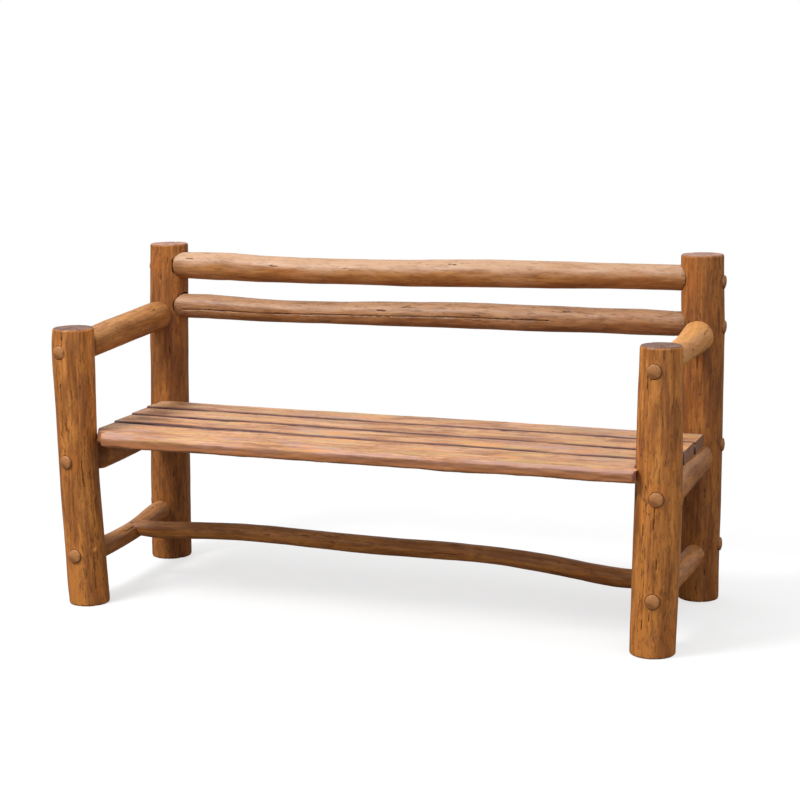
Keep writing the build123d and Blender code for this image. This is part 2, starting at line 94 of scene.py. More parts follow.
# ---- settings -------------------------------------------------------------------------------
class LogSettings(bpy.types.PropertyGroup):
    """Surface of the peeled logs."""

    column_width: bpy.props.FloatProperty(
        name="Column width", description="Width of one face round a log", default=1.7 * MM,
        subtype="DISTANCE", unit="LENGTH")
    row_length: bpy.props.FloatProperty(
        name="Row length", description="Length of one face along a log", default=3 * MM,
        subtype="DISTANCE", unit="LENGTH")
    lump_depth: bpy.props.FloatProperty(
        name="Lump depth", description="How far the peeled surface waves in and out",
        default=1.3 * MM, subtype="DISTANCE", unit="LENGTH")
    fleck_depth: bpy.props.FloatProperty(
        name="Fleck depth", description="Depth of the short dark marks that the draw knife left",
        default=0.5 * MM, subtype="DISTANCE", unit="LENGTH")
    check_depth: bpy.props.FloatProperty(
        name="Check depth", description="Depth of the drying cracks", default=2.6 * MM,
        subtype="DISTANCE", unit="LENGTH")
    check_width: bpy.props.FloatProperty(
        name="Check width", description="Half the width of the drying cracks", default=1.5 * MM,
        subtype="DISTANCE", unit="LENGTH")
    housing_gap: bpy.props.FloatProperty(
        name="Housing gap", description="Room round a back rail's end in its housing",
        default=2.8 * MM, subtype="DISTANCE", unit="LENGTH")
    shoulder_bevel: bpy.props.FloatProperty(
        name="Shoulder bevel", description="Rounding of a log's end where it meets a post",
        default=11 * MM, subtype="DISTANCE", unit="LENGTH")
    arm_bevel: bpy.props.FloatProperty(
        name="Arm bevel", description="Rounding of the left arm's end at the rear post",
        default=14 * MM, subtype="DISTANCE", unit="LENGTH")
    stretcher_bevel: bpy.props.FloatProperty(
        name="Stretcher bevel", description="Rounding of a stretcher's end where it meets a post",
        default=6 * MM, subtype="DISTANCE", unit="LENGTH")


class PlankSettings(bpy.types.PropertyGroup):
    """Surface of the seat planks."""

    row_length: bpy.props.FloatProperty(
        name="Row length", description="Length of one face along a plank", default=4 * MM,
        subtype="DISTANCE", unit="LENGTH")
    column_width: bpy.props.FloatProperty(
        name="Column width", description="Width of one face across a plank", default=2.2 * MM,
        subtype="DISTANCE", unit="LENGTH")
    hollow_depth: bpy.props.FloatProperty(
        name="Hollow depth", description="Depth of the plane's shallow hollows", default=1.6 * MM,
        subtype="DISTANCE", unit="LENGTH")
    crack_depth: bpy.props.FloatProperty(
        name="Crack depth", description="Depth of the cracks along the grain", default=3 * MM,
        subtype="DISTANCE", unit="LENGTH")
    wane_depth: bpy.props.FloatProperty(
        name="Wane depth", description="How far the live edges wander in and out", default=4 * MM,
        subtype="DISTANCE", unit="LENGTH")


class DowelSettings(bpy.types.PropertyGroup):
    """The turned dowels."""

    rim_gap: bpy.props.FloatProperty(
        name="Rim gap", description="Dark gap left round a dowel's head", default=1.1 * MM,
        subtype="DISTANCE", unit="LENGTH")
    head_height: bpy.props.FloatProperty(
        name="Head height", description="How far the domed head stands out", default=5 * MM,
        subtype="DISTANCE", unit="LENGTH")
    rim_height: bpy.props.FloatProperty(
        name="Rim height", description="Height of the straight rim below the dome",
        default=1.5 * MM, subtype="DISTANCE", unit="LENGTH")


class FinishSettings(bpy.types.PropertyGroup):
    """Colours of the oiled wood."""

    post_light: bpy.props.FloatVectorProperty(
        name="Post light", description="Lighter wood of the posts", default=(0.56, 0.212, 0.042),
        size=3, min=0, max=1, subtype="COLOR")
    post_dark: bpy.props.FloatVectorProperty(
        name="Post dark", description="Darker wood of the posts", default=(0.3, 0.102, 0.02),
        size=3, min=0, max=1, subtype="COLOR")
    rail_light: bpy.props.FloatVectorProperty(
        name="Rail light", description="Lighter wood of the rails and arms",
        default=(0.5, 0.232, 0.082), size=3, min=0, max=1, subtype="COLOR")
    rail_dark: bpy.props.FloatVectorProperty(
        name="Rail dark", description="Darker wood of the rails and arms",
        default=(0.28, 0.106, 0.028), size=3, min=0, max=1, subtype="COLOR")
    plank_light: bpy.props.FloatVectorProperty(
        name="Plank light", description="Lighter wood of the seat", default=(0.62, 0.33, 0.165),
        size=3, min=0, max=1, subtype="COLOR")
    plank_dark: bpy.props.FloatVectorProperty(
        name="Plank dark", description="Darker wood of the seat", default=(0.33, 0.145, 0.065),
        size=3, min=0, max=1, subtype="COLOR")
    fleck: bpy.props.FloatVectorProperty(
        name="Fleck", description="Marks and cracks", default=(0.1, 0.033, 0.009), size=3,
        min=0, max=1, subtype="COLOR")
    sawn: bpy.props.FloatVectorProperty(
        name="Sawn ends", description="Sawn end grain", default=(0.3, 0.155, 0.11), size=3,
        min=0, max=1, subtype="COLOR")
    # Painted shade along the gaps between the planks.
    stain: bpy.props.FloatVectorProperty(
        name="Gap shade", description="Painted shade in the gaps between the planks",
        default=(0.085, 0.033, 0.034), size=3, min=0, max=1, subtype="COLOR")
    # Painted top highlight: the paler colour painted on the upper sides of the rails and arms.
    highlight_colour: bpy.props.FloatVectorProperty(
        name="Painted highlight", description="Upper sides of the rails and arms",
        default=(0.5, 0.305, 0.185), size=3, min=0, max=1, subtype="COLOR")
    # Painted sheen: the lilac grey painted on the upper live edges of the seat and in stretches
    # along the planks.
    bloom: bpy.props.FloatVectorProperty(
        name="Grey bloom", description="Weathered bloom on the seat's live edges",
        default=(0.42, 0.27, 0.26), size=3, min=0, max=1, subtype="COLOR")


class StageSettings(bpy.types.PropertyGroup):
    """Floor, light and camera."""

    key_power: bpy.props.FloatProperty(
        name="Key power", description="Power of the main lamp", default=170, min=0, unit="POWER")
    fill_power: bpy.props.FloatProperty(
        name="Fill power", description="Power of the fill lamp", default=22, min=0, unit="POWER")
    sky: bpy.props.FloatProperty(
        name="Sky", description="Strength of the soft light from overhead", default=1.05, min=0)
    lens: bpy.props.FloatProperty(
        name="Lens", description="Focal length of the camera", default=84.27, min=1,
        unit="CAMERA")


# ---- node trees -----------------------------------------------------------------------------
class NodeWriter:
    """Adds nodes to one tree from left to right and joins their sockets."""

    def __init__(self, tree):
        self.tree = tree
        self.place = 0

    def add(self, kind, inputs=None, **settings):
        node = self.tree.nodes.new(kind)
        node.location = (self.place // 6 * 200, -(self.place % 6) * 190)
        self.place += 1
        for name, value in settings.items():
            setattr(node, name, value)
        for key, value in (inputs or {}).items():
            if isinstance(value, bpy.types.NodeSocket):
                self.tree.links.new(value, node.inputs[key])
            else:
                node.inputs[key].default_value = value
        return node

    def get(self, kind, inputs=None, output=0, **settings):
        """Add a node and give the one of its outputs that is wanted."""
        return self.add(kind, inputs, **settings).outputs[output]

    def math(self, operation, first, second=0.0):
        return self.get("ShaderNodeMath", {0: first, 1: second}, operation=operation)

    def plus(self, *values):
        return functools.reduce(lambda total, value: self.math("ADD", total, value), values)

    def minus(self, first, second):
        return self.math("SUBTRACT", first, second)

    def times(self, first, second):
        return self.math("MULTIPLY", first, second)

    def vector(self, operation, first, second=(0.0, 0.0, 0.0)):
        output = "Value" if operation in ("LENGTH", "DOT_PRODUCT") else "Vector"
        return self.get("ShaderNodeVectorMath", {0: first, 1: second}, output, operation=operation)

    def combine(self, x, y, z):
        return self.get("ShaderNodeCombineXYZ", {0: x, 1: y, 2: z})

    def parts(self, vector):
        return self.add("ShaderNodeSeparateXYZ", {0: vector}).outputs

    def noise(self, place, stretch, detail=2.0, roughness=0.5, distortion=0.0):
        """Noise between 0 and 1, with its three scales given apart."""
        return self.get("ShaderNodeTexNoise", {
            "Vector": self.vector("MULTIPLY", place, stretch), "Scale": 1.0, "Detail": detail,
            "Roughness": roughness, "Distortion": distortion})

    def ramp(self, value, low, high, start=0.0, end=1.0):
        """A soft step from start to end as the value goes from low to high."""
        return self.get("ShaderNodeMapRange", {0: value, 1: low, 2: high, 3: start, 4: end},
                        interpolation_type="SMOOTHSTEP")

    def thin_line(self, value, width):
        """One where the value is near a half, falling to nought at a width to either side."""
        return self.ramp(self.math("ABSOLUTE", self.minus(value, 0.5)), width, 0.0)

    def mix(self, factor, first, second):
        return self.get("ShaderNodeMix", {0: factor, 6: first, 7: second}, 2, data_type="RGBA")


class SurfaceWriter(NodeWriter):
    """Writes one geometry tree: its named inputs, fields on the points and the last steps."""

    def __init__(self, name, inputs):
        tree = bpy.data.node_groups.new(name, "GeometryNodeTree")
        super().__init__(tree)
        for way in ("INPUT", "OUTPUT"):
            tree.interface.new_socket("Geometry", in_out=way, socket_type="NodeSocketGeometry")
        for title, (kind, default) in inputs.items():
            socket = tree.interface.new_socket(title, in_out="INPUT",
                                               socket_type="NodeSocket" + kind)
            if default is not None:
                socket.default_value = default
        self.given = self.add("NodeGroupInput").outputs
        self.here = self.get("GeometryNodeInputPosition")
        # One where the piece isn't sawn across.
        self.bark = self.minus(1.0, self.named("sawn"))

    def named(self, name, data_type="FLOAT"):
        return self.get("GeometryNodeInputNamedAttribute", {"Name": name}, data_type=data_type)

    def store(self, geometry, data_type="FLOAT", **fields):
        """Store fields on the points, each under its name."""
        for name, value in fields.items():
            geometry = self.get("GeometryNodeStoreNamedAttribute", {
                "Geometry": geometry, "Name": name, "Value": value}, data_type=data_type,
                domain="POINT")
        return geometry

    def mesh_of(self, thing):
        return self.get("GeometryNodeObjectInfo", {"Object": thing}, "Geometry",
                        transform_space="ORIGINAL")

    def distance(self, geometry, element):
        return self.get("GeometryNodeProximity", {
            "Geometry": geometry, "Sample Position": self.here}, "Distance",
            target_element=element)

    def push(self, geometry, distance):
        """Move every point along its normal."""
        normal = self.get("GeometryNodeInputNormal")
        offset = self.get("ShaderNodeVectorMath", {0: normal, "Scale": distance}, "Vector",
                          operation="SCALE")
        return self.get("GeometryNodeSetPosition", {"Geometry": geometry, "Offset": offset})

    def finish(self, geometry):
        """Smooth the faces, give them their wood and end the tree."""
        for kind, inputs in (("GeometryNodeSetShadeSmooth", {}),
                             ("GeometryNodeRealizeInstances", {}),
                             ("GeometryNodeSetMaterial", {"Material": self.given["Finish"]})):
            geometry = self.get(kind, {"Geometry": geometry, **inputs})
        self.add("NodeGroupOutput", {0: geometry})


def set_inputs(modifier, **values):
    """Set a modifier's inputs by the identifiers of their sockets."""
    for item in modifier.node_group.interface.items_tree:
        if item.in_out == "INPUT" and item.name in values:
            modifier[item.identifier] = values[item.name]


def swept_path(write):
    """Sweep a round along each path with a scale equal to the girth."""
    path = write.store(write.given["Geometry"], "FLOAT_VECTOR", core=write.here)
    path = write.get("GeometryNodeMeshToCurve", {0: path})
    ring = write.get("GeometryNodeCurvePrimitiveCircle", {
        "Resolution": write.given["Columns"], "Radius": 1.0})
    wood = write.get("GeometryNodeCurveToMesh", {
        "Curve": path, "Profile Curve": ring, "Scale": write.named("girth"), "Fill Caps": True})

    # Every point keeps its place in the straight log that it was bent from.
    lever = write.vector("SUBTRACT", write.here, write.named("core", "FLOAT_VECTOR"))
    straight = write.combine(write.vector("DOT_PRODUCT", lever, write.given["Side"]),
                             write.vector("DOT_PRODUCT", lever, write.given["Upright"]),
                             write.named("along"))
    return write.store(wood, "FLOAT_VECTOR", grain=straight)


def knotted(write):
    """How far the nearest knot is, in its own sizes, and how far it lifts the wood round it."""
    spots = write.mesh_of(write.given["Knots"])
    nearest = write.get("GeometryNodeSampleNearest", {
        "Geometry": spots, "Sample Position": write.here})
    size, rise = (write.get("GeometryNodeSampleIndex", {
        "Geometry": spots, "Value": write.named(name), "Index": nearest})
        for name in ("size", "rise"))
    near = write.math("DIVIDE", write.distance(spots, "POINTS"), size)
    swell = write.times(write.ramp(near, 1.25, 0.72), rise)
    dent = write.times(write.ramp(near, 0.45, 0.0), -1.2 * MM)
    return near, write.plus(swell, dent)


def drying_cracks(write, place):
    """One along the lines of the checks mesh, ragged and pointed at their ends."""
    apart = write.distance(write.mesh_of(write.given["Checks"]), "EDGES")
    ragged = write.ramp(write.noise(place, (70.0, 70.0, 22.0), 3.0, 0.6), 0.3, 0.7, 0.55, 1.3)
    apart = write.math("DIVIDE", apart, write.times(ragged, write.given["Check width"]))
    return write.times(write.ramp(apart, 1.0, 0.3), write.bark)


def saw_marks(write, place):
    """Short cracks that run out from the heart of a sawn end, and the marks of the saw."""
    flat = write.parts(write.named("grain", "FLOAT_VECTOR"))
    bearing = write.math("ARCTAN2", flat[0], flat[1])
    spoke = write.combine(write.math("COSINE", bearing), write.math("SINE", bearing),
                          write.given["Seed"])
    spoke = write.thin_line(write.noise(spoke, (2.6, 2.6, 1.0), 2.0), 0.018)
    spoke = write.times(spoke, write.named("sawn"))
    marks = write.times(write.noise(place, (260.0, 40.0, 40.0), 1.0), -0.6 * MM)
    return spoke, write.times(marks, write.named("sawn"))


def planed_flat(write, wood):
    """Plane the top off flat, as on a bearer where the planks lie."""
    now = write.parts(write.here)
    limit = write.plus(write.given["Planed height"],
                       write.times(now[0], write.given["Planed slope"]))
    lowered = write.combine(now[0], now[1], write.math("MINIMUM", now[2], limit))
    return write.get("GeometryNodeSetPosition", {"Geometry": wood, "Position": lowered})


def round_wood_tree():
    """Sweeps a round of changing girth along each path, then lumps, flecks and cracks it."""
    write = SurfaceWriter("Round wood", {
        "Columns": ("Int", 96), "Lump depth": ("Float", 1.3 * MM),
        "Fleck depth": ("Float", 0.5 * MM), "Check depth": ("Float", 2.6 * MM),
        "Check width": ("Float", 1.5 * MM), "Side": ("Vector", (1.0, 0.0, 0.0)),
        "Upright": ("Vector", (0.0, 1.0, 0.0)), "Seed": ("Float", 0.0),
        "Planed height": ("Float", UNPLANED), "Planed slope": ("Float", 0.0),
        "Knots": ("Object", None), "Checks": ("Object", None), "Finish": ("Material", None)})
    given, bark = write.given, write.bark
    wood = swept_path(write)
    offset = write.combine(given["Seed"], write.times(given["Seed"], 1.7),
                           write.times(given["Seed"], 2.3))
    place = write.vector("ADD", write.named("grain", "FLOAT_VECTOR"), offset)

    # Broad lumps, the flats of the draw knife and its short dark flecks.
    lump = write.noise(place, (11.0, 11.0, 5.5), 3.0, 0.45)
    lump = write.times(write.ramp(lump, 0.25, 0.75, -1.0, 0.0), given["Lump depth"])
    facet = write.noise(place, (34.0, 34.0, 6.0), 2.0)
    facet = write.times(write.ramp(facet, 0.35, 0.65, -0.4, 0.0), given["Lump depth"])
    fleck = write.noise(place, (150.0, 150.0, 27.0), 3.0, 0.6)
    patch = write.noise(place, (15.0, 15.0, 7.0), 1.0)
    fleck = write.ramp(write.plus(fleck, write.times(patch, 0.25)), 0.75, 0.83)
    fleck = write.times(fleck, bark)

    near, knot_rise = knotted(write)
    check = drying_cracks(write, place)
    spoke, marks = saw_marks(write, place)
    facing = write.parts(write.get("GeometryNodeInputNormal"))[2]
    # How far a point faces up is kept for the painted top highlight.
    wood = write.store(wood, fleck=fleck, check=check, spoke=spoke,
                       knot=write.times(write.ramp(near, 1.3, 0.6), bark),
                       bleach=write.times(write.ramp(facing, -0.35, 0.85), bark))

    surface = write.times(write.plus(lump, facet, knot_rise), bark)
    dents = write.plus(write.times(fleck, given["Fleck depth"]),
                       write.times(check, given["Check depth"]))
    surface = write.plus(write.minus(surface, dents), marks)
    surface = write.minus(surface, write.times(spoke, 1.2 * MM))
    write.finish(planed_flat(write, write.push(wood, surface)))


def plank_tree():
    """Hollows and cracks the faces of a sawn plank and lets its live edges wander."""
    write = SurfaceWriter("Sawn plank", {
        "Hollow depth": ("Float", 1.6 * MM), "Crack depth": ("Float", 3 * MM),
        "Wane depth": ("Float", 4 * MM), "Seed": ("Float", 0.0), "Finish": ("Material", None)})
    given, bark = write.given, write.bark
    place = write.vector("ADD", write.here, write.combine(*[given["Seed"]] * 3))

    hollow = write.noise(place, (3.4, 24.0, 24.0), 3.0, 0.5)
    hollow = write.times(write.ramp(hollow, 0.3, 0.7, -1.0, 0.0), given["Hollow depth"])
    tool = write.noise(place, (14.0, 75.0, 75.0), 2.0, 0.6)
    tool = write.times(write.ramp(tool, 0.4, 0.7, 0.0, -0.45), given["Hollow depth"])
    crack = write.thin_line(write.noise(place, (0.9, 14.0, 14.0), 3.0, 0.55), 0.008)
    crack = write.times(crack, write.ramp(write.noise(place, (3.0, 9.0, 9.0), 2.0), 0.5, 0.58))
    crack = write.times(crack, bark)
    fleck = write.noise(place, (14.0, 130.0, 130.0), 3.0, 0.6)
    fleck = write.times(write.ramp(fleck, 0.66, 0.74), bark)
    wane = write.noise(place, (6.0, 20.0, 30.0), 4.0, 0.55)
    wane = write.times(write.ramp(wane, 0.3, 0.72, -1.0, 0.0), given["Wane depth"])
    wane = write.times(wane, write.named("edge"))

    wood = write.store(given["Geometry"], check=crack, fleck=fleck)
    dents = write.plus(write.times(crack, given["Crack depth"]), write.times(fleck, 0.4 * MM))
    surface = write.minus(write.times(write.plus(hollow, tool, wane), bark), dents)
    write.finish(write.push(wood, surface))


TREES = {"Round wood": round_wood_tree, "Sawn plank": plank_tree}


# ---- finishes -------------------------------------------------------------------------------
def tint(colour, *factors):
    """An opaque colour with its channels scaled by one factor or by three, and 1 at the most."""
    factors = (factors or (1.0,)) * (1 if len(factors) == 3 else 3)
    return (*(min(1.0, c * f) for c, f in zip(colour[:3], factors)), 1.0)


def emptied_tree(holder):
    """The node tree of a material or world, with nothing in it."""
    holder.use_nodes = True
    holder.node_tree.nodes.clear()
    return holder.node_tree


class WoodWriter(NodeWriter):
    """Writes the material of one wood, in layers of colour that follow its grain."""

    def __init__(self, name, light, dark, plank):
        super().__init__(emptied_tree(bpy.data.materials.new(name)))
        self.light, self.dark = light, dark
        self.darker = tint(dark, 0.72, 0.66, 0.6)
        self.noises = {}
        if plank:
            seen = self.parts(self.get("ShaderNodeTexCoord", output="Object"))
            self.grain = self.combine(self.times(seen[1], 0.62), seen[2], seen[0])
        else:
            self.grain = self.get("ShaderNodeAttribute", output="Vector", attribute_name="grain")

    def attribute(self, name):
        return self.get("ShaderNodeAttribute", output="Fac", attribute_name=name)

    def layered(self, colour, layers):
        """Mix further colours in, each up to its share where its own noise is high."""
        for name, (other, share, low, high, *pattern) in layers.items():
            self.noises[name] = self.noise(self.grain, *pattern)
            factor = self.ramp(self.noises[name], low, high, 0.0, share)
            colour = self.mix(factor, colour, other)
        return colour

    def marked(self, colour, name, share, other):
        """Mix another colour in up to its share where an attribute of the mesh is high."""
        return self.mix(self.times(self.attribute(name), share), colour, other)


def plank_colours(write, colour):
    """Yellow and orange stretches, stretches of painted sheen, painted sheen on the live edges, and
    painted shade in the gaps.
    """
    finish = bpy.context.scene.bench_finish
    light, dark = write.light, write.dark
    # Stretches of yellow and orange wood, and stretches of painted sheen along the grain.
    colour = write.layered(colour, {
        "yellow": (tint(light, 0.92, 1.12, 0.85), 0.5, 0.5, 0.62, (34.0, 60.0, 5.5), 2.0),
        "sheen streak": (tint(finish.bloom), 0.45, 0.54, 0.66, (48.0, 60.0, 4.1), 2.0),
        "orange": (tint(light, 1.1, 0.88, 0.6), 0.55, 0.56, 0.66, (41.0, 60.0, 6.3), 2.0)})
    # Painted sheen, full on the upper live edges and faint on the rest of the planks.
    bloom = write.noise(write.grain, (60.0, 60.0, 7.0), 3.0, 0.55)
    bloom = write.times(write.ramp(bloom, 0.42, 0.62), write.attribute("bloom"))
    colour = write.mix(write.times(bloom, 0.75), colour, tint(finish.bloom))
    # Painted shade along the gaps, made patchy along the grain.
    gap_shading = write.noise(write.grain, (40.0, 90.0, 7.0), 3.0, 0.6)
    gap_shading = write.times(write.ramp(gap_shading, 0.25, 0.55, 0.6, 1.0),
                       write.ramp(write.attribute("stain"), 0.0, 0.8))
    colour = write.mix(gap_shading, colour, tint(finish.stain))
    return write.marked(colour, "shade", 0.95, tint(dark, 1.02, 0.86, 0.68))


def knot_colours(write, colour):
    """Knots are ringed and darker at the heart."""
    knot = write.attribute("knot")
    rings = write.ramp(write.math("SINE", write.times(knot, 22.0)), -1.0, 1.0, 0.0, 0.7)
    return write.mix(write.times(knot, 0.7), colour, write.mix(rings, write.light, write.darker))


def end_grain(write, colour, brightness, plank):
    """Sawn ends: growth rings that wander round the heart, with dark spokes."""
    finish = bpy.context.scene.bench_finish
    cut = write.parts(write.grain)
    wobble = write.noise(write.grain, (30.0, 30.0, 5.0), 2.0)
    reach = write.plus(write.vector("LENGTH", write.combine(cut[0], cut[1], 0.0)),
                       write.times(wobble, 9 * MM))
    rings = write.ramp(write.math("SINE", write.times(reach, 1900.0)), -0.7, 1.0)
    sawn = tint(finish.sawn, brightness)
    end = write.layered(write.mix(rings, sawn, tint(sawn, 0.58)), {
        "dry": (tint(sawn, 1.5, 1.55, 1.7), 0.55, 0.4, 0.68, (40.0, 40.0, 40.0), 4.0, 0.6)})
    end = write.mix(write.attribute("spoke"), end, tint(finish.fleck))
    # Painted shade: the planks' sawn ends are darkened.
    if plank:
        end = write.mix(0.55, end, write.darker)
    return write.mix(write.attribute("sawn"), colour, end)


def wood_material(name, light, dark, pale=0.35, marks=1.0, bleach=0.0, ends=1.0, plank=False):
    """Oiled wood whose streaks, flecks and cracks follow the grain of the piece."""
    finish = bpy.context.scene.bench_finish
    write = WoodWriter(name, light, dark, plank)
    grain, darker = write.grain, write.darker
    lilac = tint(dark, 0.8, 0.85, 1.5)
    colour = write.layered(dark, {
        "tone": (light, 1.0, 0.34, 0.6, (34.0, 34.0, 6.0), 4.0, 0.62, 0.4),
        "red": (tint(light, 0.98, 0.76, 0.6), 0.42, 0.52, 0.7, (19.0, 19.0, 7.0), 2.0),
        "pale": (tint(light, 1.4, 1.52, 1.75), pale, 0.5, 0.7, (88.0, 88.0, 3.4), 3.0, 0.55),
        "streak": (darker, 0.72 * marks, 0.5, 0.66, (95.0, 95.0, 8.0), 4.0, 0.62, 0.3),
        "smear": (lilac, 0.45, 0.54, 0.7, (44.0, 44.0, 13.0), 3.0, 0.6)})

    # Painted top highlight: the sides that face up are painted paler in patches.
    highlight_share = write.ramp(write.noise(grain, (30.0, 30.0, 6.0), 3.0, 0.6), 0.3, 0.7, -0.35, 0.35)
    highlight_share = write.ramp(write.plus(write.attribute("bleach"), highlight_share), 0.0, 1.1, 0.0, bleach)
    colour = write.mix(highlight_share, colour, tint(finish.highlight_colour))

    # Short dark marks in two sizes, fine fibres, and the flecks and cracks cut in the mesh.
    fleck = finish.fleck
    colour = write.layered(colour, {
        "long speck": (tint(fleck, 1.5), 0.58 * marks, 0.57, 0.64, (118.0, 118.0, 27.0), 3.0, 0.62),
        "speck": (tint(fleck), 0.6 * marks, 0.58, 0.65, (210.0, 210.0, 44.0), 3.0, 0.62),
        "fibre": (darker, 0.24, 0.35, 0.7, (620.0, 620.0, 16.0), 3.0, 0.6)})
    colour = write.marked(colour, "fleck", 0.62 * marks, tint(fleck, 1.4))
    colour = write.marked(colour, "check", 0.85, tint(fleck, 0.6))
    colour = plank_colours(write, colour) if plank else knot_colours(write, colour)
    colour = end_grain(write, colour, ends, plank)

    height = write.plus(write.times(write.noises["streak"], 0.7),
                        write.times(write.noises["fibre"], 0.35))
    height = write.minus(height, write.times(write.ramp(write.noises["speck"], 0.62, 0.72), 0.5))
    bump = write.get("ShaderNodeBump", {"Strength": 0.55, "Distance": 1.1 * MM, "Height": height})
    rough = write.ramp(write.noise(grain, (50.0, 50.0, 12.0), 2.0), 0.3, 0.7, 0.42, 0.62)
    shader = write.get("ShaderNodeBsdfPrincipled", {
        "Base Color": colour, "Roughness": rough, "Normal": bump, "Specular IOR Level": 0.32,
        "Coat Weight": 0.06, "Coat Roughness": 0.35})
    write.add("ShaderNodeOutputMaterial", {0: shader})


# Each finish: the colours that it starts from, the tints of its light and dark wood, its looks.
# Among the looks, one share says how much painted top highlight a finish has on its upper sides.
FINISHES = {
    "Peeled post": ("post", (1.0,), (1.0,), {"pale": 0.45, "ends": 0.6}),
    # Painted shade: the rear posts get the posts' wood darkened.
    "Peeled rear post": ("post", (0.72, 0.69, 0.68), (0.72, 0.69, 0.68),
                         {"pale": 0.4, "ends": 1.25}),
    "Peeled top rail": ("rail", (0.82, 0.76, 0.62), (0.82, 0.76, 0.62),
                        {"pale": 0.4, "marks": 0.5, "bleach": 1.0}),
    "Peeled low rail": ("rail", (0.76, 0.78, 0.9), (0.76, 0.78, 0.9),
                        {"marks": 0.8, "bleach": 0.45}),
    "Peeled arm": ("rail", (0.95, 0.85, 0.5), (0.95, 0.85, 0.5), {"marks": 0.7, "bleach": 0.15}),
    "Peeled pale arm": ("rail", (1.5, 1.5, 1.15), (1.9, 1.9, 1.4),
                        {"pale": 0.3, "marks": 0.35, "bleach": 0.15}),
    "Peeled stretcher": ("post", (0.95, 0.98, 1.1), (0.95, 0.98, 1.1),
                         {"pale": 0.3, "marks": 0.7, "bleach": 0.2}),
    "Turned dowel": ("post", (0.8, 0.92, 1.5), (0.85, 0.92, 1.3), {"pale": 0.2, "marks": 0.3}),
    "Live edge plank": ("plank", (1.0,), (1.0,), {"pale": 0.45, "marks": 0.65, "plank": True}),
}


def wood_finish(name):
    """One of the bench's finishes, made when it is first asked for."""
    if name not in bpy.data.materials:
        wood, light, dark, looks = FINISHES[name]
        colours = bpy.context.scene.bench_finish
        wood_material(name, tint(getattr(colours, wood + "_light"), *light),
                      tint(getattr(colours, wood + "_dark"), *dark), **looks)
    return bpy.data.materials[name]


# ---- reading the solids ---------------------------------------------------------------------
def node_mesh(name):
    """Points and triangles of a CAD node, with its loose triangles merged."""
    scratch = bmesh.new()
    scratch.from_mesh(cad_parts[name].data)
    bmesh.ops.remove_doubles(scratch, verts=scratch.verts, dist=0.01 * MM)
    bmesh.ops.triangulate(scratch, faces=scratch.faces)
    scratch.verts.index_update()
    points = np.array([v.co for v in scratch.verts])
    faces = np.array([[v.index for v in f.verts] for f in scratch.faces])
    scratch.free()
    return points, faces


def node_solid(name):
    """A CAD node's points, and its surface for rays to hit."""
    points, faces = node_mesh(name)
    return points, BVHTree.FromPolygons([Vector(p) for p in points], [list(f) for f in faces])


def round_at(solid, axis, place, centre):
    """Centre and radius of a round solid at one place along an axis, by a circle through hits."""
    sides = [i for i in range(3) if i != axis]
    start = Vector(centre)
    start[axis] = place
    hits = []
    for i in range(RAYS):
        angle = 2 * math.pi * i / RAYS
        aim = Vector((0, 0, 0))
        aim[sides[0]], aim[sides[1]] = math.cos(angle), math.sin(angle)
        hit = solid.ray_cast(start + aim * RAY_LENGTH, -aim, RAY_LENGTH)[0]
        if hit is not None:
            hits.append([hit[sides[0]], hit[sides[1]]])
    hits = np.array(hits)

    # Hits in bores and on planed flats lie off the circle and are left out.
    for _ in range(4):
        table = np.column_stack([2 * hits, np.ones(len(hits))])
        answer = np.linalg.lstsq(table, (hits**2).sum(1), rcond=None)[0]
        radius = math.sqrt(answer[2] + answer[0]**2 + answer[1]**2)
        off = np.abs(np.hypot(*(hits - answer[:2]).T) - radius)
        hits = hits[off <= max(np.median(off) * 2.5, 0.12 * MM)]
    found = Vector(start)
    found[sides[0]], found[sides[1]] = answer[0], answer[1]
    return found, radius


def log_path(name, axis, start, end, row_length):
    """Centres and radii along a log, read from its solid and smoothed between start and end."""
    points, solid = node_solid(name)
    centre = Vector((points.min(0) + points.max(0)) / 2)
    margin = 13 * MM
    places = np.linspace(start + margin, end - margin, 26)
    rows = []
    for place in places:
        centre, radius = round_at(solid, axis, place, centre)
        rows.append([*centre, radius])
    rows = np.array(rows)
    middle, half = (start + end) / 2, (end - start) / 2
    shares = (places - middle) / half
    stations = np.linspace(start, end, max(8, int((end - start) / row_length)) + 1)
    wanted = np.clip((stations - middle) / half, shares[0], shares[-1])
    smooth = np.column_stack([
        np.polyval(np.polyfit(shares, rows[:, i], 8), wanted) for i in range(4)])
    smooth[:, axis] = stations
    return smooth


def fuller(rows, axis, low, high, swell):
    """Make a log fuller, most between its ends, and keep it inside its solid's box."""
    places, radii = rows[:, axis], rows[:, 3]
    inward = np.clip(np.minimum(places - places[0], places[-1] - places) / (120 * MM), 0, 1)
    radii += END_SWELL + (swell - END_SWELL) * inward
    margin = 0.3 * MM
    for i in (j for j in range(3) if j != axis):
        radii[:] = np.minimum(radii, (high[i] - low[i]) / 2 - margin)
        reach = radii + margin
        rows[:, i] = np.clip(rows[:, i], low[i] + reach, high[i] - reach)


